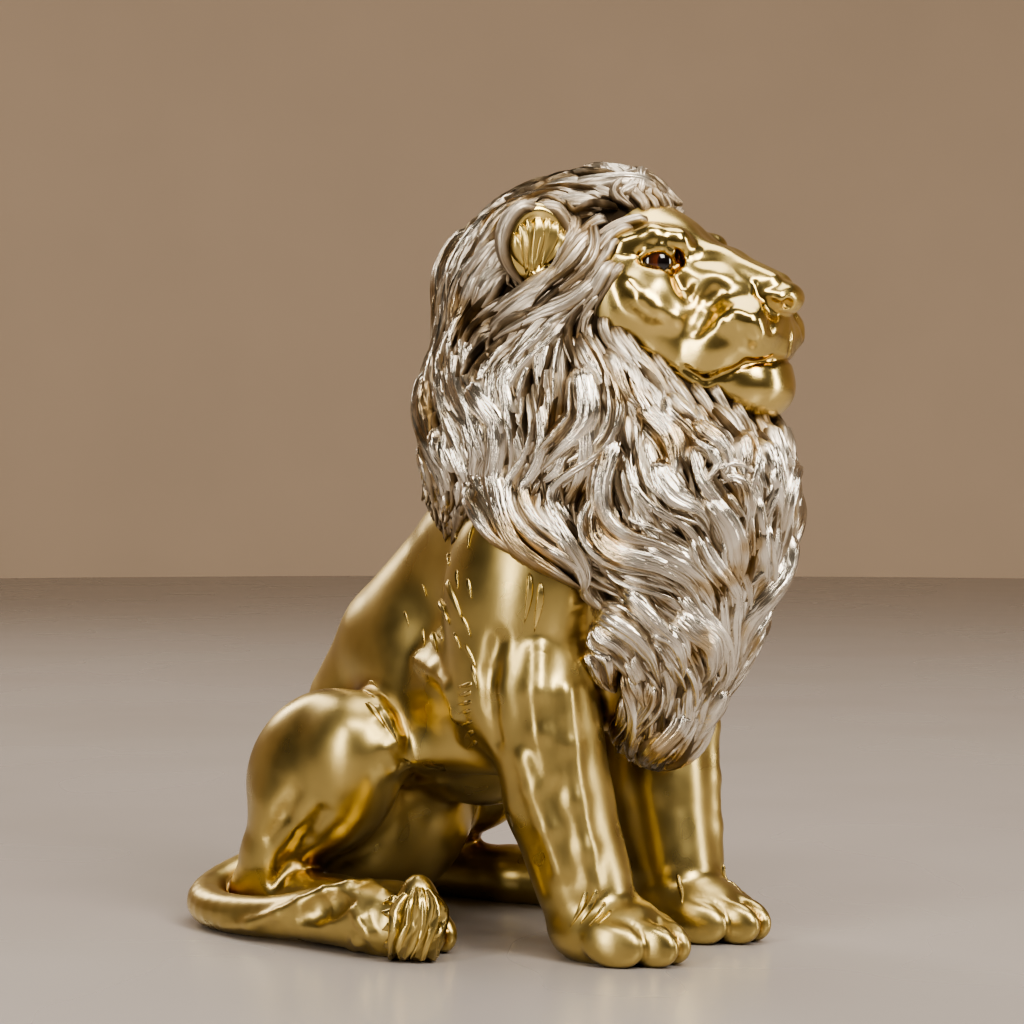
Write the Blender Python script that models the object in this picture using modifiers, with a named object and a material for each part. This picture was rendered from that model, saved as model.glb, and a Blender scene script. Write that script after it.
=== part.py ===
"""A seated lion figurine, cast in one piece: gilded body, face, paws and tail, silvered mane.

The lion faces -Y and its left side is +X. It stands on the plane z = 0, under its own weight.
HEIGHT is the driving size. The figure is a free form, so its places and sizes are shares of its
height: they are given in modelling units, of which the figure is FIGURE_UNITS high.

The form is modelled as a sculptor builds it: rounded masses are pressed together and smoothed
into each other, hollows and clefts are cut, and locks of hair are laid over the mane and the
tuft of the tail.
"""

import math

import bmesh
import bpy
import numpy as np
from mathutils import Euler, Matrix, Vector

HEIGHT = 0.240
FIGURE_UNITS = 96.05
UNIT = HEIGHT / FIGURE_UNITS

# The origin lies under the middle of the figure's box. The masses below are placed from a point
# between the paws and the rump, so the finished figure is moved by this much.
ORIGIN_SHIFT = (1.7685, -2.5845, 0.0)

# Mesh sizes, in the figure's units, and the number of triangles that the finished solid keeps.
# The masses are meshed between the corners SPACE_LOW and SPACE_HIGH.
SPACE_LOW = (-32, -42, -4)
SPACE_HIGH = (32, 46, 98)
CORE_STEP = 0.8
SKIN_VOXEL = 0.6
TRIANGLES = 9900
FINE_SHARE = 0.7
MANE_SHARE = 0.8

# Locks of hair: the middle width and thickness, the spacing of their roots, and their length.
LOCK_WIDTH = 4.4
LOCK_THICKNESS = 2.5
LOCK_SPACING = 4.4
LOCK_LENGTH = 16.0
LOCK_RINGS = 12

# Their roots stand in rows over a dome on the crown, then down round the neck and the chest.
DOME_HEIGHT = 78
DOME_RADIUS = 17
DOME_ARC = 26.7
ROWS_LENGTH = 88

# The head: where the middle of the skull is, how far it turns to the lion's left, how far it lifts.
HEAD_CENTRE = (0.4, -9.9, 80.6)
HEAD_TURN = 12.0
HEAD_LIFT = -2.5

# How far the right front paw stands ahead of the middle of the two, and the left one behind it.
STEP = 0.8

FAR = 1000.0
MIRROR = np.array([-1.0, 1.0, 1.0])


def smooth_min(a, b, reach):
    """The smaller of two distances, rounded over where they meet within reach."""
    share = np.clip(0.5 + 0.5 * (b - a) / reach, 0.0, 1.0)
    return b * (1 - share) + a * share - reach * share * (1 - share)


class Egg:
    """A rounded mass: its middle, its three half-lengths, a tilt about X, Y and Z in degrees,
    and how far it blends into its neighbours."""

    def __init__(self, centre, radii, tilt=(0.0, 0.0, 0.0), blend=2.0):
        self.centre = np.array(centre, float)
        self.radii = np.array(radii, float)
        self.tilt = tilt
        self.blend = blend
        self.turn = Euler([math.radians(a) for a in tilt]).to_matrix()

    def mirrored(self):
        turned = (self.tilt[0], -self.tilt[1], -self.tilt[2])
        return Egg(self.centre * MIRROR, self.radii, turned, self.blend)

    def reach(self, points):
        """A quick distance that is never more than the true one."""
        return np.linalg.norm(points - self.centre, axis=1) - self.radii.max()

    def distance(self, points):
        local = (points - self.centre) @ np.array(self.turn) / self.radii
        near = np.linalg.norm(local, axis=1)
        slope = np.linalg.norm(local / self.radii, axis=1)
        return near * (near - 1) / np.maximum(slope, 1e-9)

    def rough(self, bm, frame):
        place = Matrix.Translation(self.centre) @ self.turn.to_4x4() @ Matrix.Diagonal((*self.radii, 1))
        bmesh.ops.create_icosphere(bm, subdivisions=3, radius=1.0, matrix=frame @ place)


class Limb:
    """A tapered limb, such as a leg or the tail: stations along it, each (x, y, z, radius)."""

    JOINT = 1.2

    def __init__(self, stations, blend=2.0):
        self.stations = np.array(stations, float)
        self.blend = blend

    def mirrored(self):
        return Limb(self.stations * np.append(MIRROR, 1.0), self.blend)

    def reach(self, points):
        """A quick distance that is never more than the true one."""
        middle = (self.stations.min(0) + self.stations.max(0))[:3] / 2
        span = np.linalg.norm(self.stations[:, :3] - middle, axis=1) + self.stations[:, 3]
        return np.linalg.norm(points - middle, axis=1) - span.max()

    def distance(self, points):
        nearest = None
        for start, end in zip(self.stations, self.stations[1:]):
            run = end[:3] - start[:3]
            along = np.clip((points - start[:3]) @ run / (run @ run), 0.0, 1.0)
            gap = np.linalg.norm(points - start[:3] - along[:, None] * run, axis=1)
            gap = gap - (start[3] + along * (end[3] - start[3]))
            nearest = gap if nearest is None else smooth_min(nearest, gap, self.JOINT)
        return nearest

    def rough(self, bm, frame):
        for start, end in zip(self.stations, self.stations[1:]):
            steps = max(2, round(np.linalg.norm(end[:3] - start[:3]) / (0.4 * min(start[3], end[3]))))
            for step in range(steps + 1):
                at = start + (end - start) * step / steps
                place = Matrix.Translation(at[:3])
                bmesh.ops.create_icosphere(bm, subdivisions=2, radius=at[3], matrix=frame @ place)


class Group:
    """Masses that share a frame: those that are joined, and those that are cut away from them."""

    def __init__(self, added, cut=(), frame=None):
        self.added = added
        self.cut = cut
        self.frame = frame or Matrix.Identity(4)
        self.back = np.array(self.frame.inverted())

    def distance(self, points, so_far=None):
        local = points @ self.back[:3, :3].T + self.back[:3, 3]
        whole = np.full(len(points), FAR) if so_far is None else so_far.copy()
        for mass in self.added:
            near = mass.reach(local) < whole + mass.blend
            whole[near] = smooth_min(whole[near], mass.distance(local[near]), mass.blend)
        for mass in self.cut:
            near = mass.reach(local) < mass.blend - whole
            whole[near] = -smooth_min(-whole[near], mass.distance(local[near]), mass.blend)
        return whole

    def rough(self, bm):
        for mass in self.added:
            mass.rough(bm, self.frame)


def both_sides(*masses):
    """Each mass and its mirror image on the other side of the lion."""
    return [m for mass in masses for m in (mass, mass.mirrored())]


def torso():
    return [
        Egg((0, -4, 42), (14.0, 14, 19), (14, 0, 0), 3),
        Egg((0, 11, 30), (12.5, 12.5, 16), (-38, 0, 0), 4),
        Egg((0, 24.5, 15.5), (13.5, 11, 14), (0, 0, 0), 4),
        *both_sides(Limb([(-12.6, 15, 26.8, 2.4), (-10.8, 8, 23.4, 2.8), (-9.6, -3, 23.4, 2.8)], 3)),
        Limb([(0, 28, 27, 7.5), (0, 20.5, 35, 9), (0, 6, 46.8, 10), (0, 0, 54, 10.5), (0, -4, 66, 12)], 4),
    ]


def front_leg(step):
    """The right front leg, from the shoulder to the toes, set forward by step at the paw."""
    paw = -18.5 - step
    toes = [
        Egg((-9.6 + side, paw - 7.7 + 0.16 * side * side, 2.6), (1.75, 4.0, 2.7), (8, 0, -4 * side), 0.7)
        for side in (-4.6, -1.55, 1.55, 4.6)
    ]
    return [
        Egg((-12.8, -7.5, 43), (6.5, 9.5, 14), (12, 0, 0), 3.5),
        Egg((-12.4, -7.0, 32), (6.2, 7.6, 8.5), (6, 0, 0), 3),
        Limb(
            [
                (-12.0, -11.0, 31, 7.1),
                (-10.9, -12.6 - 0.5 * step, 18.5, 6.4),
                (-10.1, paw + 3.2, 9, 5.9),
            ],
            2.5,
        ),
        Egg((-9.6, paw, 3.4), (6.3, 7.6, 4.6), (0, 0, 0), 2),
        *toes,
    ]


def paws():
    """The masses of the front paws and the right hind foot alone."""
    near, far = front_leg(STEP)[3:], [mass.mirrored() for mass in front_leg(-STEP)[3:]]
    return near + far + both_sides(*hind_leg()[4:])


def hind_leg():
    """The right hind leg: thigh, knee, shin, and a foot that lies flat from heel to toes."""
    toes = [
        Egg((-20.4 + side, -0.6 + 0.16 * side * side, 2.5), (1.7, 3.8, 2.6), (8, 0, -6 - 4 * side), 0.7)
        for side in (-4.4, -1.5, 1.5, 4.4)
    ]
    return [
        Egg((-14.5, 22, 19.5), (7.0, 12.5, 10.2), (-33, 0, 0), 2.5),
        Egg((-15.8, 15.8, 22.8), (5.4, 6.2, 6.4), (0, 0, 0), 2),
        Limb([(-15.4, 25, 15, 6.0), (-15.3, 28.6, 8.5, 5.2), (-15.4, 31.5, 4.6, 4.0)], 2),
        Limb([(-15.6, 31.5, 3.6, 3.9), (-17.5, 17, 3.3, 3.9), (-20, 6, 3.4, 4.6)], 2),
        Egg((-20.4, 4.5, 3.2), (5.8, 7.2, 4.3), (0, 0, -6), 1.5),
        *toes,
    ]


def tail():
    """The tail leaves the rump, turns round the right heel and lies forward along the foot."""
    return [
        Limb(
            [
                (0, 32, 8.0, 4.2),
                (-7, 37.5, 5.6, 3.4),
                (-14.5, 39.5, 3.8, 2.9),
                (-20.8, 37.5, 2.8, 2.6),
                (-24.6, 32, 2.4, 2.4),
                (-25.6, 25, 2.5, 2.4),
                (-25.6, 17.5, 4.6, 2.6),
                (-25.2, 11.5, 6.8, 2.9),
            ],
            1.2,
        ),
        Limb([(-25.2, 11.5, 6.8, 2.9), (-24.6, 5.5, 7.6, 4.0), (-24.4, 0.5, 5.4, 3.6), (-24.6, -2.6, 2.8, 2.0)], 1.2),
    ]


def mane():
    """The masses that the locks of the mane lie on."""
    return [
        Egg((0, -7.5, 64), (16.6, 19.3, 20), (0, 0, 0), 3),
        Egg((0.4, -7.2, 78.0), (14.8, 16.3, 14.3), (0, 0, 0), 3),
        Egg((0.5, -10, 86.4), (8.2, 8.4, 7.2), (0, 0, 0), 2.5),
        Egg((1, -20.2, 56), (12.8, 14.8, 19.5), (0, 0, 0), 4),
        Egg((0.6, -21.8, 40), (9.4, 9.4, 11.5), (0, 0, 0), 4),
    ]


def head():
    """The face, in the head's own frame: the skull's middle is the origin, and it faces -Y."""
    added = [
        Egg((0, -3, 0.5), (10, 11, 9.5), (0, 0, 0), 2),
        Egg((0, -8.5, 4.0), (7.6, 6.0, 5.4), (0, 0, 0), 2),
        *both_sides(
            Egg((-6.6, -8, -6), (5.6, 8, 7.6), (0, 0, 0), 2),
            Egg((-4.9, -11.6, 4.0), (3.0, 2.6, 1.9), (0, -14, 12), 0.9),
            Egg((-3.4, -21.2, -5.4), (4.3, 4.8, 4.6), (0, 0, 0), 1.0),
            Limb([(-7.4, -6, -12, 3.6), (-3.0, -17, -14.2, 3.0)], 2),
        ),
        Egg((0, -17.5, -5.5), (6.4, 8.6, 6.6), (0, 0, 0), 1.6),
        Limb([(0, -9, 3.6, 4.4), (0, -17, 1.0, 3.5), (0, -23.4, -1.4, 3.0)], 1.4),
        Egg((0, -25.0, -1.2), (3.3, 2.2, 2.2), (-12, 0, 0), 0.7),
        Egg((0, -20.4, -13.6), (4.8, 5.6, 4.2), (0, 0, 0), 1.2),
    ]
    cut = [
        *both_sides(
            Egg((-6.0, -13.2, 1.9), (3.0, 2.4, 1.7), (0, -8, 20), 0.9),
            Egg((-1.9, -26.6, -1.9), (0.9, 1.4, 0.7), (0, 20, 0), 0.4),
            Limb([(-7.4, -12.6, -10.2, 0.4), (-5.6, -18.5, -10.2, 0.6), (-2.6, -23.8, -10.2, 0.8), (0, -25.4, -9.4, 0.8)], 0.8),
        ),
        Limb([(0, -27.2, -3.2, 0.35), (0, -26.6, -8.6, 0.5)], 0.6),
    ]
    return added, cut


def ears():
    """Rounded ears that open forwards and outwards, each with a hollow dish."""
    added = both_sides(Egg((-12.4, 1.3, 5.0), (4.7, 2.5, 5.6), (8, -14, -40), 1.0))
    cut = both_sides(Egg((-13.7, -0.3, 4.8), (3.5, 2.0, 4.3), (8, -14, -40), 0.5))
    return added, cut


def head_frame():
    turn = Euler((math.radians(-HEAD_LIFT), 0, math.radians(HEAD_TURN))).to_matrix().to_4x4()
    return Matrix.Translation(HEAD_CENTRE) @ turn


class Figure:
    """The whole lion without its locks. distance() is below zero inside it."""

    def __init__(self):
        face, face_cuts = head()
        ear, ear_cuts = ears()
        self.groups = [
            Group(
                torso()
                + front_leg(STEP)
                + [mass.mirrored() for mass in front_leg(-STEP)]
                + both_sides(*hind_leg())
                + tail()
            ),
            Group(mane()),
            Group(face, face_cuts, head_frame()),
            Group(ear, ear_cuts, head_frame()),
            Group(both_sides(Egg((-5.7, -11.7, 1.8), (2.3, 2.0, 1.6), (0, -8, 20), 0.3)), (), head_frame()),
        ]

    def distance(self, points):
        whole = None
        for group in self.groups:
            whole = group.distance(points, whole)
        return whole

    def normals(self, points, step=0.05):
        """The direction away from the figure at each point, and the distance there."""
        here = self.distance(points)
        slope = np.empty_like(points)
        for axis in range(3):
            aside = points.copy()
            aside[:, axis] += step
            slope[:, axis] = (self.distance(aside) - here) / step
        return slope / np.maximum(np.linalg.norm(slope, axis=1, keepdims=True), 1e-6), here

    def settle(self, points, rounds=5, lift=0.0):
        """Moves each point onto the surface, or lift above it."""
        for _ in range(rounds):
            away, here = self.normals(points)
            points = points - away * np.clip(here - lift, -1.0, 1.0)[:, None]
        return points


# How the hair of the right side runs, as strokes drawn from root to tip. The left side mirrors them.
STROKES = [
    [(3.5, -18.5, 90), (0.5, -16.5, 92), (-3, -14.5, 92.5), (-5, -11.5, 92.5), (-6, -8, 92)],
    [(4, -19, 92.5), (3, -14.5, 94.5), (0.5, -12, 95), (-1.5, -9, 94), (-6, -7.5, 92), (-5, -2, 91)],
    [(-4.5, -16, 90.5), (1, -16, 92.5), (4.5, -17, 91.5), (4, -19.5, 89.5)],
    [(-6, -15.5, 90), (-7, -12.5, 91), (-7.5, -9, 91), (-7.5, -4, 90), (-9.5, -3, 88), (-12, -2.5, 85),
     (-13.5, -2, 81.5)],
    [(-6, -18, 87.5), (-7, -16, 88.5), (-8, -15.5, 87.5), (-9.5, -17, 85), (-11, -17, 82.5),
     (-12.5, -15, 80.5), (-13.5, -13, 78.5), (-14.5, -10, 77.5), (-15, -6.5, 76), (-14.5, -2, 73.5)],
    [(-8.5, -19, 83), (-10.5, -18.5, 80.5), (-12, -16.5, 78.5), (-14, -13, 77), (-15, -9.5, 75),
     (-15.5, -6, 72.5), (-16, -3.5, 69)],
    [(-12, -4.5, 86), (-12.5, -3, 84), (-13, -1, 81.5), (-13, 0.5, 78.5), (-13, 1.5, 75),
     (-14.5, 0, 71.5)],
    [(-6.5, 0.5, 89.5), (-7.5, 3, 86.5), (-9, 5.5, 83), (-10, 6.5, 79.5), (-9.5, 7, 75.5),
     (-9.5, 7, 71.5)],
    [(-13.5, -14.5, 74.5), (-12.5, -17.5, 73), (-12, -20, 70), (-12, -22, 65.5), (-13, -22, 61.5),
     (-13.5, -19.5, 59.5), (-14.5, -16, 58), (-15, -14, 55), (-15.5, -15, 52), (-14.5, -16.5, 49),
     (-11.5, -19, 47), (-10.5, -23.5, 46), (-9, -27.5, 44), (-7.5, -29.5, 42.5)],
    [(-15, -11, 73), (-16, -9.5, 70), (-16.5, -9, 66), (-16.5, -9.5, 61.5), (-16, -8, 57),
     (-17.5, -10, 52.5), (-18, -12.5, 49), (-16, -16, 46.5), (-12.5, -17.5, 44)],
    [(-14.5, -13.5, 72.5), (-16, -12.5, 68), (-15.5, -14.5, 64), (-15.5, -14, 60.5), (-15.5, -11, 57),
     (-16.5, -11, 54), (-17, -13.5, 51), (-15, -16.5, 48.5), (-11, -19, 45.5), (-10, -24.5, 43),
     (-8.5, -27, 39.5)],
    [(-13, -17, 73), (-13, -18.5, 68.5), (-14, -19, 64), (-15, -16, 61), (-15, -13.5, 58),
     (-15.5, -12.5, 54.5)],
    [(-15.5, -3, 69.5), (-16.5, -6.5, 66.5), (-17, -8.5, 63.5), (-16.5, -8, 60), (-16, -6, 57)],
    [(-14, 2, 68.5), (-16, -2, 66), (-16.5, -5.5, 64), (-16.5, -6.5, 60.5), (-16, -5, 57.5),
     (-17, -7, 54), (-18, -10.5, 50.5)],
    [(-14, 3, 64.5), (-15.5, 0.5, 62), (-15, -0.5, 58.5), (-13, 1, 55)],
    [(-10, 8, 66.5), (-12, 6, 63), (-13, 4, 59), (-12, 3.5, 55.5)],
    [(-16.5, -5, 61.5), (-16, -4.5, 58), (-16.5, -6, 54), (-18, -10, 50.5), (-17.5, -14, 47.5)],
    [(-11.5, -19, 73.5), (-11, -21.5, 71), (-10.5, -24, 67), (-10, -26.5, 64.5), (-10, -29, 63)],
    [(-10, -22.5, 71), (-9.5, -26, 67.5), (-10, -28, 63.5), (-9.5, -30, 60.5), (-9, -31, 60)],
    [(-9, -26, 68), (-9, -28.5, 65.5), (-8.5, -30.5, 63), (-8.5, -32, 60)],
    [(-8, -30, 66), (-8, -31.5, 63), (-7, -33, 61), (-7, -34, 58.5), (-8, -33, 57), (-8.5, -32, 55)],
    [(-11.5, -24, 64.5), (-12, -25, 60.5), (-12, -26, 57), (-11, -27.5, 54.5), (-9.5, -30.5, 52),
     (-8, -31.5, 49.5), (-6.5, -31.5, 46), (-5.5, -31.5, 42.5)],
    [(-12, -22.5, 66.5), (-12.5, -23, 61.5), (-12.5, -22.5, 57.5), (-12.5, -22.5, 54), (-12, -24, 51.5),
     (-10.5, -28, 50), (-8.5, -30.5, 48), (-7, -31, 45.5), (-6, -31.5, 42.5)],
    [(-13, -21, 58), (-13, -20, 54.5), (-12, -20, 51), (-11.5, -23, 48.5), (-10, -27, 47),
     (-7.5, -30, 44), (-6.5, -30.5, 40.5)],
    [(-10.5, -28, 61.5), (-11, -28, 58), (-10.5, -29.5, 54.5), (-8.5, -32, 52.5), (-7, -33, 49.5)],
    [(-4.5, -34, 64.5), (-3.5, -35.5, 62), (-3, -36, 59), (-4, -36, 56), (-5, -35, 53)],
    [(-0.5, -35.5, 64), (0, -36.5, 61), (0.5, -37, 57.5), (-1, -36.5, 53.5), (-1.5, -36, 49.5)],
    [(-8.5, -32, 54.5), (-8, -33, 57), (-6, -34.5, 58), (-4, -35.5, 57), (-3, -36, 54), (-3, -35.5, 50),
     (-2.5, -34, 46)],
    [(-7, -34, 54.5), (-5.5, -34, 50.5), (-5, -33.5, 47), (-2.5, -33.5, 43), (-1, -33.5, 38.5),
     (-2, -32.5, 35), (-3, -30.5, 31.5)],
    [(-0.5, -37, 54.5), (-1, -36.5, 51), (0, -35.5, 47.5), (2, -34, 44), (2, -33.5, 39)],
    [(-11, -19, 45.5), (-10, -24.5, 43.5), (-8.5, -27.5, 40), (-7, -29.5, 37), (-5.5, -30, 33.5),
     (-3.5, -28, 29.5)],
    [(-12, -17, 42.5), (-9.5, -19.5, 41), (-9.5, -24, 38.5), (-8.5, -25.5, 36), (-7, -25, 31)],
    [(-10.5, -16.5, 40.5), (-9.5, -18, 39.5), (-9, -20.5, 37), (-8, -21.5, 33)],
    [(-9, -17, 38), (-8, -18, 35), (-7, -19, 32)],
    [(-9, -26.5, 43), (-7.5, -29.5, 40), (-5.5, -31.5, 37), (-4, -31, 33.5), (-3.5, -29, 30.5)],
    [(-9.5, -24, 41), (-8.5, -27.5, 38), (-7, -28.5, 34.5), (-5.5, -27.5, 31)],
]


def surface(figure, low, high, step):
    """A mesh of the figure's surface on a grid: its points, and its faces with four corners each."""
    block = 4
    counts = (np.ceil((np.array(high) - low) / (step * block)) * block).astype(int)
    axes = [low[i] + step * np.arange(counts[i]) for i in range(3)]
    field = np.empty(counts)
    half = step * (block - 1) / 2
    middles = np.stack(np.meshgrid(*[a[::block] + half for a in axes], indexing="ij"), -1)
    rough = figure.distance(middles.reshape(-1, 3)).reshape(middles.shape[:3])
    close = np.argwhere(np.abs(rough) < 4.5 * step * block / 2 + 1)
    field[:] = rough.repeat(block, 0).repeat(block, 1).repeat(block, 2)
    offsets = np.stack(np.meshgrid(*[np.arange(block)] * 3, indexing="ij"), -1).reshape(-1, 3)
    index = (close[:, None, :] * block + offsets).reshape(-1, 3)
    field[tuple(index.T)] = figure.distance(np.array(low) + step * index)

    corners = [(i, j, k) for i in (0, 1) for j in (0, 1) for k in (0, 1)]
    edges = [(a, b) for a in range(8) for b in range(a + 1, 8) if sum(np.abs(np.subtract(corners[a], corners[b]))) == 1]
    inside = field < 0
    cut = [inside[i : i + counts[0] - 1, j : j + counts[1] - 1, k : k + counts[2] - 1] for i, j, k in corners]
    cells = np.argwhere(~(np.all(cut, 0) | ~np.any(cut, 0)))
    values = np.stack([field[tuple((cells + c).T)] for c in corners], 1)
    total = np.zeros((len(cells), 3))
    hits = np.zeros(len(cells))
    for a, b in edges:
        crossed = (values[:, a] < 0) != (values[:, b] < 0)
        gap = np.where(crossed, values[:, a] - values[:, b], 1.0)
        share = np.where(crossed, values[:, a] / gap, 0.0)[:, None]
        place = np.array(corners[a]) + share * np.subtract(corners[b], corners[a])
        total += np.where(crossed[:, None], place, 0.0)
        hits += crossed
    points = np.array(low) + step * (cells + total / hits[:, None])
    number = np.full(counts, -1)
    number[tuple(cells.T)] = np.arange(len(cells))
    faces = []
    for axis in range(3):
        ahead = np.eye(3, dtype=int)[axis]
        u, v = np.eye(3, dtype=int)[(axis + 1) % 3], np.eye(3, dtype=int)[(axis + 2) % 3]
        here = np.argwhere(np.diff(inside.astype(int), axis=axis) != 0)
        here = here[(here[:, (axis + 1) % 3] > 0) & (here[:, (axis + 2) % 3] > 0)]
        ring = [number[tuple((here + shift).T)] for shift in (-u - v, -v, 0 * u, -u)]
        quad = np.stack(ring, 1)
        out = inside[tuple(here.T)]
        faces.append(np.where(out[:, None], quad, quad[:, ::-1]))
    return points, np.concatenate(faces)


class Hair:
    """Where locks of hair grow on the figure, which way they run, and the shape of each."""

    def __init__(self, figure):
        self.figure = figure
        self.mane = Group(mane())
        self.bare = [figure.groups[2], figure.groups[3]]
        self.strokes = [np.array(stroke, float) for stroke in STROKES]
        self.strokes += [stroke * MIRROR for stroke in self.strokes]
        self.middles = np.concatenate([(s[1:] + s[:-1]) / 2 for s in self.strokes])
        runs = np.concatenate([s[1:] - s[:-1] for s in self.strokes])
        self.runs = runs / np.linalg.norm(runs, axis=1, keepdims=True)

    def heading(self, points, away):
        """The way the hair runs over the surface at each point."""
        gap = ((points[:, None] - self.middles) ** 2).sum(2)
        flow = np.exp(-gap / 18.0) @ self.runs
        wave = 0.55 * np.sin(0.42 * points[:, 2] + 0.5 * points[:, 0])
        down = np.stack([wave, 0 * wave, -1 + 0 * wave], 1)
        flow = flow + 0.06 * down
        flow -= (flow * away).sum(1, keepdims=True) * away
        return flow / np.maximum(np.linalg.norm(flow, axis=1, keepdims=True), 1e-6)

    def roots(self, spacing, rng):
        """Evenly spread points on the mane, away from the face and the ears."""
        starts = []
        ends = []
        for row in range(int(ROWS_LENGTH / spacing)):
            along = row * spacing
            lift = math.pi / 2 - along / DOME_RADIUS if along < DOME_ARC else 0.0
            level = DOME_HEIGHT if along < DOME_ARC else DOME_HEIGHT - (along - DOME_ARC)
            around = max(1, round(2 * math.pi * DOME_RADIUS * math.cos(lift) / spacing))
            for k in range(around):
                angle = 2 * math.pi * (k + 0.5 * (row % 2) + rng.uniform(-0.2, 0.2)) / around
                out = [math.cos(lift) * math.cos(angle), math.cos(lift) * math.sin(angle), math.sin(lift)]
                lean = -9 - 0.12 * max(0, DOME_HEIGHT - level)
                middle = np.array([0.5, lean, level + rng.uniform(-0.5, 0.5)])
                starts.append(middle + 60 * np.array(out))
                ends.append(middle)
        points = np.array(starts)
        ahead = np.array(ends) - points
        ahead /= np.linalg.norm(ahead, axis=1, keepdims=True)
        for _ in range(60):
            points = points + ahead * np.maximum(0.6 * self.figure.distance(points), 0)[:, None]
        on = (self.mane.distance(points) < 0.7) & (points[:, 2] > 27)
        for group in self.bare:
            on &= group.distance(points) > 0.9
        kept = []
        for point in points[on]:
            if all(np.linalg.norm(point - other) > 0.8 * spacing for other in kept):
                kept.append(point)
        return np.array(kept)

    def trace(self, roots, length, steps, curls):
        """Follows the hair from each root. Towards the tip the path bends aside by its curl."""
        path = [roots]
        points = roots
        for step in range(steps):
            away, _ = self.figure.normals(points)
            run = self.heading(points, away)
            if step > 1:
                run = run + 0.5 * last
            bend = curls[:, None] * max(0.0, step / steps - 0.55) * np.cross(away, run)
            run = run + bend
            run /= np.linalg.norm(run, axis=1, keepdims=True)
            points = self.figure.settle(points + run * (length / steps)[:, None], rounds=1)
            last = run
            path.append(points)
        return [self.trimmed(line) for line in np.stack(path, 1)]

    def trimmed(self, line):
        """The line up to where it would run over the face or an ear, or off the mane."""
        clear = self.mane.distance(line) < 2.2
        for group in self.bare:
            clear &= group.distance(line) > 0.7
        blocked = np.flatnonzero(~clear)
        return line[: blocked[0]] if len(blocked) else line


def resampled(line, count):
    """The same line with evenly spaced points."""
    gaps = np.linalg.norm(np.diff(line, axis=0), axis=1)
    along = np.concatenate([[0.0], np.cumsum(gaps)])
    at = np.linspace(0, along[-1], count)
    return np.stack([np.interp(at, along, line[:, i]) for i in range(3)], 1)


def softened(line, rounds=2):
    """The line with its corners rounded; its ends stay."""
    for _ in range(rounds):
        line = np.concatenate([line[:1], (line[:-2] + 2 * line[1:-1] + line[2:]) / 4, line[-1:]])
    return line


def lock_mesh(paths, away, widths, thicknesses, lift):
    """A leaf of hair along each path: sunk at its root, thick in the middle, pointed at its tip.

    Each lock is a sphere whose rings are laid out along its path, from its south pole to its
    north pole.
    """
    last = paths.shape[1] - 1
    bm = bmesh.new()
    bmesh.ops.create_uvsphere(bm, u_segments=8, v_segments=last, radius=1.0)
    ball = bpy.data.meshes.new("lock")
    bm.to_mesh(ball)
    bm.free()
    shape = mesh_points(ball)
    ring = np.hypot(shape[:, 0], shape[:, 1])
    across = np.where(ring > 1e-5, shape[:, 0] / np.maximum(ring, 1e-5), 0.0)
    high = np.where(ring > 1e-5, shape[:, 1] / np.maximum(ring, 1e-5), 0.0)
    high *= np.sqrt(np.abs(high))
    t = np.arccos(np.clip(-shape[:, 2], -1, 1)) / math.pi
    at = np.rint(t * last).astype(int)
    full = np.sin(math.pi * np.minimum(0.12 + 0.88 * t, 0.94) ** 0.75)
    sunk = lift * np.clip((t - 0.6) / 0.4, 0, 1) ** 2 - 0.15

    run = np.gradient(paths, axis=1)
    side = np.cross(away, run)
    side /= np.maximum(np.linalg.norm(side, axis=2, keepdims=True), 1e-6)
    aside = 0.5 * widths[:, None] * (full * across)
    rise = thicknesses[:, None] * ((0.25 + 0.75 * full) * high - 0.9 * np.clip(1 - t / 0.22, 0, 1)) + sunk
    points = paths[:, at] + side[:, at] * aside[..., None] + away[:, at] * rise[..., None]
    locks = modified(ball, "ARRAY", count=len(paths), use_relative_offset=False)
    locks.vertices.foreach_set("co", points.ravel())
    return locks


def mane_locks(figure):
    rng = np.random.default_rng(5)
    hair = Hair(figure)
    roots = hair.roots(LOCK_SPACING, rng)
    length = LOCK_LENGTH * rng.uniform(0.8, 1.2, len(roots))
    curls = rng.choice([-1.0, 1.0], len(roots)) * rng.uniform(0.6, 2.2, len(roots))
    paths = [line for line in hair.trace(roots, length, 11, curls) if len(line) > 5]
    sizes = rng.uniform(0.85, 1.15, len(paths) + len(hair.strokes))
    sizes[len(paths) :] *= 1.1
    paths = np.stack([softened(resampled(path, LOCK_RINGS)) for path in paths + hair.strokes])
    points = figure.settle(paths.reshape(-1, 3), rounds=3)
    away = figure.normals(points)[0].reshape(paths.shape)
    return lock_mesh(points.reshape(paths.shape), away, LOCK_WIDTH * sizes, LOCK_THICKNESS * sizes, 0.8)


def tuft_locks(figure):
    """Leaves of hair over the end of the tail."""
    line = np.array([(-25.2, 11.5, 6.8), (-24.9, 7, 7.8), (-24.6, 2, 6.6), (-24.5, -2, 4.0), (-24.6, -4.6, 2.2)])
    swing = np.radians([-75, -45, -15, 15, 45, 75])
    out = np.stack([np.sin(swing), 0 * swing, np.cos(swing)], 1)
    paths = softened(resampled(line, LOCK_RINGS))[None] + 3.0 * out[:, None]
    points = figure.settle(paths.reshape(-1, 3), rounds=4)
    away = figure.normals(points)[0].reshape(paths.shape)
    return lock_mesh(points.reshape(paths.shape), away, np.full(6, 3.6), np.full(6, 1.5), 0.5)


def mesh_points(mesh):
    points = np.empty(len(mesh.vertices) * 3)
    mesh.vertices.foreach_get("co", points)
    return points.reshape(-1, 3)


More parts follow.
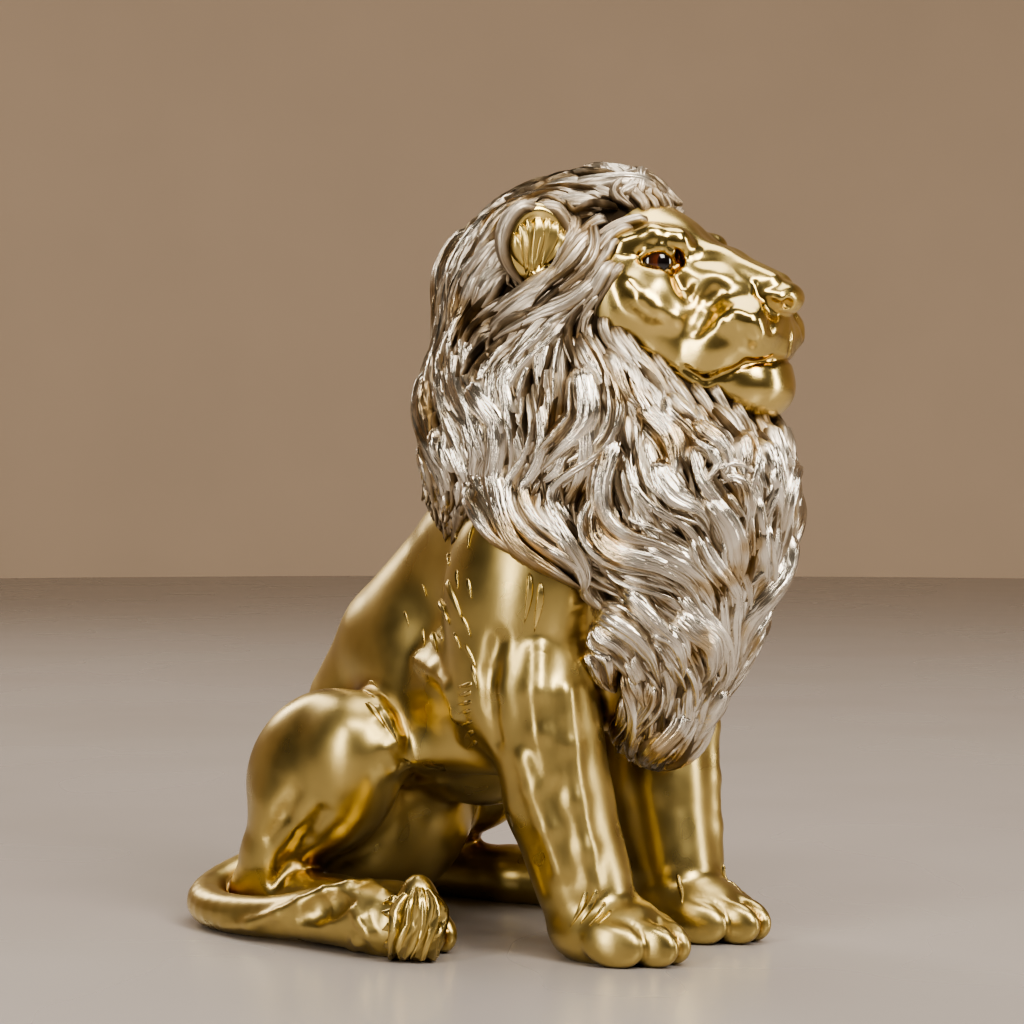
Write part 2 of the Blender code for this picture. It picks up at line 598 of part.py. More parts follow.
def modified(mesh, kind, **settings):
    """The mesh after one modifier."""
    obj = bpy.data.objects.new("work", mesh)
    bpy.context.scene.collection.objects.link(obj)
    modifier = obj.modifiers.new(kind, kind)
    for name, value in settings.items():
        setattr(modifier, name, value)
    bpy.context.view_layer.update()
    done = bpy.data.meshes.new_from_object(obj.evaluated_get(bpy.context.evaluated_depsgraph_get()))
    bpy.data.objects.remove(obj)
    return done


def thinned(figure, mesh, ratio):
    """The mesh with fewer triangles: most are kept where the carving is small."""
    points = mesh_points(mesh)
    share = np.ones(len(points))
    share[figure.groups[1].distance(points) < 3.5] = MANE_SHARE
    for group, reach in ((figure.groups[2], 1.2), (figure.groups[3], 1.5), (Group(paws()), 1.0)):
        share[group.distance(points) < reach] = FINE_SHARE
    obj = bpy.data.objects.new("work", mesh)
    bpy.context.scene.collection.objects.link(obj)
    zone = obj.vertex_groups.new(name="thinned")
    for value in (FINE_SHARE, MANE_SHARE, 1.0):
        zone.add(np.flatnonzero(share == value).tolist(), value, "REPLACE")
    thin = obj.modifiers.new("Thin", "DECIMATE")
    thin.ratio = ratio
    thin.vertex_group = zone.name
    bpy.context.view_layer.update()
    done = bpy.data.meshes.new_from_object(obj.evaluated_get(bpy.context.evaluated_depsgraph_get()))
    bpy.data.objects.remove(obj)
    return done


def keep_outer_shell(bm):
    """Removes the small closed shells that lie inside the figure."""
    left = set(bm.verts)
    shells = []
    while left:
        stack = [left.pop()]
        shell = []
        while stack:
            vert = stack.pop()
            shell.append(vert)
            for edge in vert.link_edges:
                other = edge.other_vert(vert)
                if other in left:
                    left.discard(other)
                    stack.append(other)
        shells.append(shell)
    shells.sort(key=len)
    for shell in shells[:-1]:
        bmesh.ops.delete(bm, geom=shell, context="VERTS")


def flatten_soles(bm):
    """Cuts the figure level with the ground, so that it stands on flat soles."""
    for vert in bm.verts:
        if abs(vert.co.z) < 0.3:
            vert.co.z = 0.0
    geom = bm.verts[:] + bm.edges[:] + bm.faces[:]
    bmesh.ops.bisect_plane(bm, geom=geom, dist=1e-4, plane_co=(0, 0, 0), plane_no=(0, 0, 1), clear_inner=True)
    open_edges = [e for e in bm.edges if e.is_boundary]
    bmesh.ops.holes_fill(bm, edges=open_edges, sides=0)
    bmesh.ops.triangulate(bm, faces=bm.faces[:])
    bmesh.ops.recalc_face_normals(bm, faces=bm.faces[:])


def gilding():
    material = bpy.data.materials.new("gilding")
    material.use_nodes = True
    shader = material.node_tree.nodes["Principled BSDF"]
    shader.inputs["Base Color"].default_value = (0.83, 0.6, 0.22, 1)
    shader.inputs["Metallic"].default_value = 1.0
    shader.inputs["Roughness"].default_value = 0.25
    return material


def build():
    for obj in list(bpy.data.objects):
        bpy.data.objects.remove(obj)
    figure = Figure()
    points, faces = surface(figure, SPACE_LOW, SPACE_HIGH, CORE_STEP)
    bm = bmesh.new()
    verts = [bm.verts.new(point) for point in points]
    for face in faces:
        bm.faces.new([verts[i] for i in face])
    bm.from_mesh(mane_locks(figure))
    bm.from_mesh(tuft_locks(figure))
    mesh = bpy.data.meshes.new("masses")
    bm.to_mesh(mesh)
    bm.free()
    skin = modified(mesh, "REMESH", mode="VOXEL", voxel_size=SKIN_VOXEL)
    bm = bmesh.new()
    bm.from_mesh(skin)
    keep_outer_shell(bm)
    bmesh.ops.triangulate(bm, faces=bm.faces[:])
    count = len(bm.faces)
    bm.to_mesh(skin)
    bm.free()
    coarse = thinned(figure, skin, TRIANGLES / count)
    bm = bmesh.new()
    bm.from_mesh(coarse)
    flatten_soles(bm)
    for vert in bm.verts:
        vert.co = (vert.co + Vector(ORIGIN_SHIFT)) * UNIT
    mesh = bpy.data.meshes.new("lion")
    bm.to_mesh(mesh)
    bm.free()
    mesh.materials.append(gilding())
    obj = bpy.data.objects.new("lion", mesh)
    bpy.context.scene.collection.objects.link(obj)
    return obj


if __name__ == "__main__":
    build()
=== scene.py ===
"""The looks of a seated lion figurine: gilded body, face, paws and tail, antiqued silver mane.

The lion faces -Y and its left side is +X. Its forms are placed in modelling units, of which the
figure is FIGURE_UNITS high; UNIT, taken from the frame, turns them into metres.
"""

import math

import bmesh
import bpy
import numpy as np
from mathutils import Euler, Matrix, Vector


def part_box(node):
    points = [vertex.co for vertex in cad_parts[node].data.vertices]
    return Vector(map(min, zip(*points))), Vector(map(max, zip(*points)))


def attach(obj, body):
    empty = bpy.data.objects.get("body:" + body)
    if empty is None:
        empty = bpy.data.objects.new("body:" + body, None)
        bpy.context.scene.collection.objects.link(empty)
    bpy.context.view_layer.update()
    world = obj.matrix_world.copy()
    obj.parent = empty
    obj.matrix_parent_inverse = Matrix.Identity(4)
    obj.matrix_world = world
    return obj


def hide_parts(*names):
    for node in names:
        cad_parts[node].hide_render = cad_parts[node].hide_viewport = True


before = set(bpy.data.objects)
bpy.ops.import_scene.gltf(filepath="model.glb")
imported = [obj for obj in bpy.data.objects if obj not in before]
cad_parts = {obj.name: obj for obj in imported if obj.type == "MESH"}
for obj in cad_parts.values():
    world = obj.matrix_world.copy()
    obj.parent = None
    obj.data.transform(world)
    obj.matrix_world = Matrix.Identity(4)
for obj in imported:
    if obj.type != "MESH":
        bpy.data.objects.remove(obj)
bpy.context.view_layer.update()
LION_LOW, LION_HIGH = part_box("lion")

FIGURE_UNITS = 96.05
UNIT = (LION_HIGH.z - LION_LOW.z) / FIGURE_UNITS

# The origin lies under the middle of the figure's box; the forms are placed from a point between
# the paws and the rump.
ORIGIN_SHIFT = (1.7685, -2.5845, 0.0)

# Mesh sizes of the cast skins, in the figure's units.
BODY_VOXEL = 0.55
FACE_VOXEL = 0.3

# The head: where the middle of the skull is, how far it turns to the lion's left, how far it lifts.
HEAD_CENTRE = (0.4, -9.9, 80.6)
HEAD_TURN = 12.0
HEAD_LIFT = -2.5

# How far the right front paw stands ahead of the middle of the two, and the left one behind it.
STEP = 0.8

# A distance beyond anything in the scene.
FAR = 1000.0

# The photograph's viewpoint, in the figure's units, its direction over the ground, how far it
# looks down, and its focal length in the photograph's pixels and as a lens in millimetres.
VIEWPOINT = (-278.5, -222.4, 60.0)
AHEAD = (0.777, 0.629)
LOOKS_DOWN = 1.176
PHOTO_SIDE = 1024
FOCAL_PIXELS = 2840.0
LENS = 99.84
SENSOR_WIDTH = 36.0

# How far the lines of sight run before they come near the lion.
NEAR_SIDE = 300.0

MIRROR = np.array([-1.0, 1.0, 1.0])


def smooth_min(a, b, reach):
    """The smaller of two distances, rounded over where they meet within reach."""
    share = np.clip(0.5 + 0.5 * (b - a) / reach, 0.0, 1.0)
    return b * (1 - share) + a * share - reach * share * (1 - share)


class Egg:
    """A rounded mass: its middle, its three half-lengths, a tilt about X, Y and Z in degrees,
    and how far it blends into its neighbours."""

    def __init__(self, centre, radii, tilt=(0.0, 0.0, 0.0), blend=2.0):
        self.centre = np.array(centre, float)
        self.radii = np.array(radii, float)
        self.tilt = tilt
        self.blend = blend
        self.turn = Euler([math.radians(a) for a in tilt]).to_matrix()

    def mirrored(self):
        turned = (self.tilt[0], -self.tilt[1], -self.tilt[2])
        return Egg(self.centre * MIRROR, self.radii, turned, self.blend)

    def reach(self, points):
        """A quick distance that is never more than the true one."""
        return np.linalg.norm(points - self.centre, axis=1) - self.radii.max()

    def distance(self, points):
        local = (points - self.centre) @ np.array(self.turn) / self.radii
        near = np.linalg.norm(local, axis=1)
        slope = np.linalg.norm(local / self.radii, axis=1)
        return near * (near - 1) / np.maximum(slope, 1e-9)

    def balls(self):
        return [Matrix.Translation(self.centre) @ self.turn.to_4x4() @ Matrix.Diagonal((*self.radii, 1))]


class Limb:
    """A tapered limb, ridge or crease: stations along it, each (x, y, z, radius)."""

    JOINT = 1.2

    def __init__(self, stations, blend=2.0, joint=JOINT):
        self.stations = np.array(stations, float)
        self.blend = blend
        self.joint = min(joint, blend)

    def mirrored(self):
        return Limb(self.stations * np.append(MIRROR, 1.0), self.blend, self.joint)

    def reach(self, points):
        """A quick distance that is never more than the true one."""
        middle = (self.stations.min(0) + self.stations.max(0))[:3] / 2
        span = np.linalg.norm(self.stations[:, :3] - middle, axis=1) + self.stations[:, 3]
        return np.linalg.norm(points - middle, axis=1) - span.max()

    def distance(self, points):
        nearest = None
        for start, end in zip(self.stations, self.stations[1:]):
            run = end[:3] - start[:3]
            along = np.clip((points - start[:3]) @ run / (run @ run), 0.0, 1.0)
            gap = np.linalg.norm(points - start[:3] - along[:, None] * run, axis=1)
            gap = gap - (start[3] + along * (end[3] - start[3]))
            nearest = gap if nearest is None else smooth_min(nearest, gap, self.joint)
        return nearest

    def balls(self):
        found = []
        for start, end in zip(self.stations, self.stations[1:]):
            steps = max(2, round(np.linalg.norm(end[:3] - start[:3]) / (0.5 * min(start[3], end[3]))))
            for step in range(steps + 1):
                at = start + (end - start) * step / steps
                found.append(Matrix.Translation(at[:3]) @ Matrix.Scale(at[3], 4))
        return found


class Group:
    """Masses that share a frame: those that are joined, and those that are cut away from them."""

    def __init__(self, added, cut=(), place=None):
        self.added = added
        self.cut = cut
        self.place = place or Matrix.Identity(4)
        self.back = np.array(self.place.inverted())

    def distance(self, points, so_far=None):
        local = points @ self.back[:3, :3].T + self.back[:3, 3]
        whole = np.full(len(points), FAR) if so_far is None else so_far.copy()
        for mass in self.added:
            near = mass.reach(local) < whole + mass.blend
            whole[near] = smooth_min(whole[near], mass.distance(local[near]), mass.blend)
        for mass in self.cut:
            near = mass.reach(local) < mass.blend - whole
            whole[near] = -smooth_min(-whole[near], mass.distance(local[near]), mass.blend)
        return whole

    def balls(self):
        return [self.place @ ball for mass in self.added for ball in mass.balls()]


class Form:
    """Groups that are pressed together. distance() is below zero inside."""

    def __init__(self, *groups):
        self.groups = groups

    def distance(self, points):
        whole = None
        for group in self.groups:
            whole = group.distance(points, whole)
        return whole

    def normals(self, points, step=0.05):
        """The direction away from the form at each point, and the distance there."""
        here = self.distance(points)
        slope = np.empty_like(points)
        for axis in range(3):
            aside = points.copy()
            aside[:, axis] += step
            slope[:, axis] = (self.distance(aside) - here) / step
        return slope / np.maximum(np.linalg.norm(slope, axis=1, keepdims=True), 1e-6), here

    def settle(self, points, rounds=5, lift=0.0):
        """Moves each point onto the surface, or lift above it. Every third round looks anew for the
        way out."""
        for turn in range(rounds):
            if turn % 3 == 0:
                away, here = self.normals(points)
            else:
                here = self.distance(points)
            points = points - away * np.clip(here - lift, -1.0, 1.0)[:, None]
        return points


def both_sides(*masses):
    """Each mass and its mirror image on the other side of the lion."""
    return [m for mass in masses for m in (mass, mass.mirrored())]


def view_direction():
    pitch = math.radians(LOOKS_DOWN)
    return Vector((AHEAD[0] * math.cos(pitch), AHEAD[1] * math.cos(pitch), -math.sin(pitch))).normalized()


def seen(form, lines):
    """Lines of points on a form where the photograph shows them, from their pixels. A pixel just
    off the form gives the nearest point of it."""
    ahead = view_direction()
    right = ahead.cross(Vector((0, 0, 1))).normalized()
    up = right.cross(ahead)
    half = PHOTO_SIDE / 2
    pixels = [pixel for line in lines for pixel in line]
    across = [right * ((x - half) / FOCAL_PIXELS) for x, _ in pixels]
    above = [up * ((half - y) / FOCAL_PIXELS) for _, y in pixels]
    rays = np.array([(ahead + aside + rise).normalized() for aside, rise in zip(across, above)])
    points = np.array(VIEWPOINT) + NEAR_SIDE * rays
    best = points.copy()
    least = np.full(len(points), FAR)
    for _ in range(80):
        here = form.distance(points)
        closer = here < least
        best[closer] = points[closer]
        least[closer] = here[closer]
        points = points + rays * (0.6 * here.clip(0))[:, None]
    best = form.settle(best, rounds=4)
    ends = np.cumsum([len(line) for line in lines])
    return np.split(best, ends[:-1])


def torso():
    return [
        Egg((0, -4, 42), (14.0, 14, 19), (14, 0, 0), 3),
        Egg((0, 11, 30), (12.5, 12.5, 16), (-38, 0, 0), 4),
        Egg((0, 24.5, 15.5), (13.5, 11, 14), (0, 0, 0), 4),
        Egg((-1, -14.5, 39), (8.5, 8.5, 13), (10, 0, 0), 3),
        *both_sides(Egg((-9.6, 1.5, 31), (5.0, 7.5, 7.5), blend=3)),
        *both_sides(Limb([(-12.6, 15, 26.8, 2.4), (-10.8, 8, 23.4, 2.8), (-9.6, -3, 23.4, 2.8)], 3)),
        Limb([(0, 28, 27, 7.5), (0, 20.5, 35, 9), (0, 6, 46.8, 10), (0, 0, 54, 10.5), (0, -4, 66, 12)], 4),
    ]


def front_leg(step):
    """The right front leg, from the shoulder to the toes, set forward by step at the paw."""
    paw = -18.5 - step
    toes = [
        mass
        for side in (-4.6, -1.55, 1.55, 4.6)
        for mass in toe((-9.6 + side, paw - 7.7 + 0.16 * side * side, 2.6), -4 * side)
    ]
    return [
        Egg((-12.8, -7.5, 43), (6.5, 9.5, 14), (12, 0, 0), 3.5),
        Egg((-12.4, -7.0, 32), (6.2, 7.6, 8.5), (6, 0, 0), 3),
        Limb(
            [
                (-12.0, -11.0, 31, 7.1),
                (-10.9, -12.6 - 0.5 * step, 18.5, 6.4),
                (-10.1, paw + 3.2, 9, 5.9),
            ],
            2.5,
        ),
        Egg((-9.6, paw, 3.4), (6.3, 7.6, 4.6), (0, 0, 0), 2),
        *toes,
    ]


def toe(middle, turn):
    """A toe: a rounded knuckle, and a pad that reaches the ground in front of it."""
    x, y, z = middle
    return [
        Egg((x, y, z), (1.7, 3.9, 2.7), (8, 0, turn), 0.5),
        Egg((x, y + 1.6, z + 1.2), (1.5, 2.3, 1.9), (0, 0, turn), 0.5),
    ]


def hind_leg():
    """The right hind leg: thigh, knee, shin, and a foot that lies flat from heel to toes."""
    toes = [
        mass
        for side in (-4.4, -1.5, 1.5, 4.4)
        for mass in toe((-20.4 + side, -0.6 + 0.16 * side * side, 2.5), -6 - 4 * side)
    ]
    return [
        Egg((-14.5, 22, 19.5), (7.0, 12.5, 10.2), (-33, 0, 0), 2.5),
        Egg((-15.8, 15.8, 22.8), (5.4, 6.2, 6.4), (0, 0, 0), 2),
        Limb([(-15.4, 25, 15, 6.0), (-15.3, 28.6, 8.5, 5.2), (-15.4, 31.5, 4.6, 4.0)], 2),
        Limb([(-15.6, 31.5, 3.6, 3.9), (-17.5, 17, 3.3, 3.9), (-20, 6, 3.4, 4.6)], 2),
        Egg((-20.4, 4.5, 3.2), (5.8, 7.2, 4.3), (0, 0, -6), 1.5),
        *toes,
    ]


def tail():
    """The tail leaves the rump, turns round the right heel and lies forward along the foot."""
    stations = [
        (0, 32, 8.0, 4.2),
        (-7, 37.5, 5.6, 3.4),
        (-14.5, 39.5, 3.8, 2.9),
        (-20.8, 37.5, 2.8, 2.6),
        (-24.6, 32, 2.4, 2.4),
        (-25.6, 25, 2.5, 2.4),
        (-25.6, 17.5, 3.1, 2.6),
        (-25.2, 11.5, 4.2, 3.6),
        (-24.6, 5.5, 4.4, 4.3),
        (-24.4, 0.5, 3.8, 3.7),
        (-24.6, -2.6, 2.8, 2.4),
    ]
    tuft = Egg((-24.2, -2.2, 5.3), (2.6, 2.9, 4.8), blend=0.6)
    return [Limb(softened(resampled(np.array(stations, float), 34), 5), 1.2, 0.1), tuft]


def carving(masses):
    """The ridges and folds of the body, drawn over the photograph's pixels, on both sides alike.
    The tail's are on its own side alone."""
    form = Form(Group(masses))

    def marks(lines, width, blend, sides=(1.0, MIRROR)):
        return [crease(masses, line * side, width, blend) for line in seen(form, lines) for side in sides]

    own_side = (1.0,)
    ridges = [
        *marks(TENDONS, 0.5, 2.4),
        *marks(SKIN_RIDGES, 0.45, 1.8),
        *marks(TAIL_RIDGES, 0.65, 0.8, own_side),
    ]
    folds = [
        *marks(THIGH_FOLDS, 0.4, 1.8),
        *marks(SHOULDER_FOLDS, 0.4, 2.2),
        *marks(TAIL_FOLDS, 1.4, 1.0, own_side),
    ]
    return ridges, folds


# Lines of the body's carving, in the photograph's pixels.
TENDONS = [
    [(538, 650), (536, 690), (540, 735), (550, 775)],
    [(566, 690), (570, 745), (576, 800), (586, 850), (592, 885)],
    [(524, 760), (534, 790), (548, 830), (560, 870)],
]
SKIN_RIDGES = [
    [(418, 660), (436, 672), (450, 690), (458, 715), (464, 738)],
    [(384, 748), (394, 766), (408, 778), (440, 780)],
    [(376, 700), (384, 718), (396, 742), (408, 760)],
]
THIGH_FOLDS = [
    [(322, 812), (305, 838), (288, 862), (276, 884)],
    [(296, 790), (283, 815), (268, 838)],
]
SHOULDER_FOLDS = [
    [(497, 640), (489, 672), (489, 705), (496, 740)],
]
TAIL_RIDGES = [
    [(222, 926), (250, 924), (278, 914), (300, 902), (325, 891), (350, 885), (370, 884), (384, 890)],
    [(350, 906), (360, 920), (370, 934), (378, 950)],
    [(366, 928), (358, 940), (352, 952)],
]
TAIL_FOLDS = [
    [(300, 920), (316, 911), (334, 904), (350, 901)],
]

# Tips of gold fur that stand out of the body, root first, in the photograph's pixels.
FLANK_FUR = [
    [(433, 570), (439, 590), (446, 604), (453, 616), (462, 632), (470, 648)],
    [(447, 572), (452, 592), (458, 606), (464, 622)],
    [(457, 566), (457, 578), (458, 590)],
    [(467, 574), (469, 586), (472, 600)],
    [(460, 612), (466, 624), (471, 638)],
    [(452, 630), (457, 640), (461, 650)],
    [(462, 640), (469, 652), (477, 668)],
    [(421, 582), (424, 590), (427, 597)],
    [(403, 608), (406, 616), (409, 627)],
    [(422, 624), (423, 636), (424, 647)],
    [(430, 628), (434, 640), (438, 653)],
    [(438, 622), (441, 632), (444, 641)],
    [(448, 552), (450, 560), (450, 568)],
    [(470, 660), (475, 674), (478, 690)],
]
ELBOW_FRINGE = [
    [(475, 682), (467, 685), (458, 687)],
    [(474, 691), (466, 694), (458, 696)],
    [(474, 700), (466, 703), (457, 705)],
    [(473, 709), (466, 712), (458, 714)],
    [(474, 719), (468, 723), (461, 726)],
    [(475, 729), (470, 734), (464, 738)],
    [(477, 740), (472, 745), (467, 749)],
]
HAUNCH_FUR = [
    [(366, 684), (372, 682), (377, 687)],
    [(360, 690), (368, 692), (375, 698)],
    [(362, 699), (371, 706), (378, 716), (385, 728)],
    [(372, 700), (381, 712), (390, 728), (398, 744)],
]
WRIST_FUR = [
    [(588, 886), (584, 900), (578, 914), (570, 928)],
    [(598, 884), (594, 898), (588, 912), (580, 925)],
    [(607, 896), (603, 908), (596, 919), (588, 928)],
    [(613, 907), (607, 916), (598, 926)],
    [(676, 868), (680, 882), (683, 896), (682, 906)],
]
MANE_EDGE_FUR = [
    [(530, 560), (531, 592), (524, 628)],
    [(541, 568), (541, 600), (533, 640)],
    [(476, 520), (470, 534), (468, 550)],
    [(458, 516), (456, 528), (458, 542)],
    [(442, 522), (443, 532), (447, 540)],
]

# The tuft of the tail: leaves that hang over the paw, a fringe on their rear edge, and the curls
# that lead up to them.
TUFT_LEAVES = [
    [(412, 884), (402, 900), (401, 922), (399, 944), (403, 961)],
    [(415, 878), (411, 896), (410, 920), (407, 942), (404, 961)],
    [(418, 876), (420, 896), (419, 920), (414, 942), (405, 961)],
    [(421, 878), (430, 897), (429, 922), (421, 943), (407, 961)],
    [(424, 882), (437, 902), (436, 924), (427, 944), (409, 960)],
]
TUFT_FRINGE = [
    [(400, 900), (392, 900), (382, 904)],
    [(400, 913), (391, 914), (381, 912)],
    [(400, 926), (391, 927), (382, 930)],
    [(400, 940), (391, 942), (383, 946)],
]

# Strands of fur in the dish of the right ear.
EAR_FUR = [
    [(564, 226), (558, 246), (545, 266)],
    [(558, 215), (552, 238), (540, 270)],
    [(549, 211), (545, 236), (535, 273)],
    [(539, 210), (537, 238), (531, 276)],
    [(529, 212), (529, 240), (528, 277)],
    [(520, 217), (522, 244), (526, 274)],
    [(514, 228), (517, 250), (524, 268)],
]


def mane(shrink=0.0):
    """The masses that the locks of the mane lie on."""
    masses = [
        ((0, -7.5, 64), (16.6, 19.3, 20), 3),
        ((0.4, -7.2, 78.0), (14.8, 16.3, 14.3), 3),
        ((1.2, -11.4, 86.6), (8.4, 9.0, 7.3), 2.5),
        ((1, -20.4, 54.4), (12.8, 14.8, 17.4), 4),
        ((0.6, -21.0, 40.5), (9.2, 9.0, 11.2), 4),
        ((0.4, -19.6, 31.5), (5.2, 5.4, 8.0), 2.5),
    ]
    return [Egg(middle, [r - shrink for r in radii], blend=blend) for middle, radii, blend in masses]


def crease(masses, line, width, blend=0.5):
    """A groove, or a ridge, along a line that is first laid on the surface of the masses. It fades
    out at both ends."""
    points = Form(Group(masses)).settle(np.array(line, float), rounds=8)
    fade = np.ones(len(points))
    fade[[0, -1]] = 0.35
    return Limb([(*point, width * share) for point, share in zip(points, fade)], blend)


def head():
    """The face, in the head's own frame: the skull's middle is the origin, and it faces -Y."""
    brow = [
        (-8.9, -8.0, 4.6, 1.1), (-7.6, -10.9, 5.7, 1.25), (-5.8, -13.2, 5.3, 1.3), (-4.2, -14.3, 4.0, 1.1),
    ]
    mouth = [
        (-9.2, -16.4, -9.9), (-8.0, -18.6, -11.2), (-6.6, -20.4, -10.0), (-5.4, -22.4, -8.9),
        (-3.0, -25.0, -8.4), (0, -26.0, -8.2),
    ]
    pad_back = [(-5.6, -18.4, -1.2), (-6.6, -18.0, -2.6), (-7.2, -17.7, -4.0), (-7.6, -17.5, -5.2)]
    nostril_wing = [(-2.6, -26.0, -1.8), (-4.0, -24.6, -2.2), (-4.3, -23.2, -1.0), (-3.6, -22.4, 0.2)]
    lip_cleft = [(0, -27.6, -3.0), (0, -26.8, -5.5), (0, -26.4, -7.8)]
    added = [
        Egg((0, -3, 0.5), (10, 11, 9.5), blend=2),
        Egg((0, -8.5, 4.2), (7.4, 6.0, 5.2), blend=2),
        *both_sides(
            Egg((-6.6, -8.2, -2.8), (5.5, 7.4, 6.0), blend=3),
            Limb(brow, 2.2),
            Limb([(-8.8, -10.4, 0.9, 0.5), (-8.0, -12.2, 0.1, 0.6), (-6.4, -13.7, 0.2, 0.5)], 1.0),
            Limb([(-9.4, -7.5, 0.0, 2.2), (-8.4, -11.4, -1.0, 2.2), (-6.6, -14.4, -2.6, 1.8)], 2.0),
            Egg((-4.4, -16.6, -5.6), (4.6, 6.5, 5.4), blend=2.5),
            Limb([(-4.6, -13.4, 1.0, 2.4), (-3.9, -17.5, 0.0, 2.4), (-3.2, -21.5, -1.2, 2.0)], 1.8),
            Limb([(-6.4, -12.4, -7.6, 3.4), (-5.0, -16.2, -10.2, 3.5), (-2.6, -20.8, -11.4, 3.6)], 2.5),
        ),
        Egg((0, -17.5, -5.5), (6.4, 8.6, 6.4), blend=2),
        *both_sides(
            Limb([(-1.7, -11, 5.0, 2.5), (-1.6, -17, 2.5, 2.3), (-1.5, -23.4, 0.3, 1.9)], 1.4),
            Egg((-3.8, -21.6, -4.8), (3.9, 4.2, 4.0), blend=1.2),
            Egg((-6.2, -18.6, -7.4), (2.6, 3.4, 3.0), blend=1.6),
            Limb([(-4.6, -17.8, -0.2, 0.8), (-6.3, -16.2, -1.9, 1.1), (-7.6, -14.8, -3.6, 0.8)], 1.2),
        ),
        Egg((0, -25.0, -1.0), (3.4, 2.2, 2.0), (-12, 0, 0), 0.7),
        *both_sides(Egg((-2.6, -24.4, -1.5), (1.5, 1.9, 1.3), (0, 20, 20), 0.6)),
        Egg((0, -20.9, -11.7), (5.2, 5.3, 3.9), blend=3.2),
    ]
    cut = [
        *both_sides(
            Egg((-7.4, -11.9, 2.8), (2.8, 1.6, 2.0), (0, 0, -49), 0.7),
            crease(added, mouth, 0.26, 0.7),
            crease(added, pad_back, 0.42, 2.2),
            Egg((-2.1, -26.3, -1.7), (0.9, 1.1, 0.6), (0, 24, 0), 0.3),
            crease(added, nostril_wing, 0.2, 0.7),
        ),
        crease(added, lip_cleft, 0.3, 0.4),
    ]
    turn, middle = head_axes()
    skull = Form(Group(added, (), head_place()))
    ridges = [(line - middle) @ turn for line in seen(skull, FACE_RIDGES)]
    folds = [(line - middle) @ turn for line in seen(skull, FACE_FOLDS)]
    cut += both_sides(*(crease(added, line, 0.3, 1.6) for line in folds))
    added += both_sides(*(crease(added, line, 0.5, 2.4) for line in ridges))
    return added, cut


# Lines of the cheek and the muzzle, in the photograph's pixels.
FACE_RIDGES = [
    [(630, 284), (641, 298), (655, 309), (672, 318)],
    [(722, 322), (737, 317), (750, 322), (757, 334)],
]
FACE_FOLDS = [
    [(677, 276), (683, 286), (688, 297)],
    [(770, 300), (774, 312), (772, 326)],
]


def eyelids():
    """The upper and lower lids of both eyes, as rounded rims round the eyeball."""
    return both_sides(
        Limb(
            [(-5.8, -13.2, 2.3, 0.35), (-6.9, -12.9, 3.9, 0.5), (-7.9, -12.0, 4.5, 0.6),
             (-8.6, -10.8, 4.1, 0.55), (-8.9, -9.5, 2.7, 0.4)], 0.4,
        ),
        Limb(
            [(-5.8, -13.2, 2.3, 0.35), (-7.0, -12.9, 1.45, 0.4), (-8.0, -11.9, 1.1, 0.45),
             (-8.6, -10.8, 1.4, 0.4), (-8.9, -9.5, 2.7, 0.4)], 0.4,
        ),
    )


def ears():
    """Rounded ears that open forwards and outwards, each with a hollow dish."""
    added = both_sides(
        Egg((-13.3, 1.9, 4.5), (4.1, 1.9, 4.8), (6, 0, -45), 0.8),
        Limb([(-12.9, 1.5, 2.0, 2.0), (-12.7, 1.1, -0.6, 1.0)], 1.0),
    )
    cut = both_sides(
        Egg((-14.9, 0.3, 4.7), (3.6, 1.9, 4.3), (6, 0, -45), 0.4),
        Limb([(-14.5, 0.1, 2.2, 1.2), (-14.0, -0.1, 0.4, 0.5)], 0.6),
    )
    return added, cut


def head_place():
    turn = Euler((math.radians(-HEAD_LIFT), 0, math.radians(HEAD_TURN))).to_matrix().to_4x4()
    return Matrix.Translation(HEAD_CENTRE) @ turn


def head_axes():
    """The head's turn as rows of a matrix, and its middle."""
    place = head_place()
    return np.array(place.to_3x3()), np.array(place.translation)


# How far the matt silver reaches from the face and the ears, over how far the gold fades out, and
# how open the tips of gold fur are, as creases and swellings go, for the gold's painted crease shade.
MATT_REACH = 9.0
GOLD_EDGE = 0.6
FUR_OPENNESS = 0.75

# The right eyeball, in the head's own frame, and the way that the left one looks.
EYE_MIDDLE = (-6.0, -10.6, 2.7)
EYE_RADIUS = 2.6
GAZE = (0.55, -0.83, 0.02)


# The roots of the hair stand in rows over a dome on the crown, then down round the neck and chest:
# the dome's height and radius, the length of its rows, and the length of all rows together.
DOME_HEIGHT = 78
DOME_RADIUS = 17
DOME_ARC = 26.7
ROWS_LENGTH = 88

# No hair grows lower than this.
LOWEST_ROOT = 25

# How wide an area round itself a stroke steers, as the square of a distance.
STROKE_SPREAD = 18.0

# How far from the face and the ears the locks reach their full width.
FULL_WIDTH_AWAY = 11

# The random draws of the mane, of the gold fur and of the tail's tuft.
MANE_SEED = 5
FUR_SEED = 9
TUFT_SEED = 2

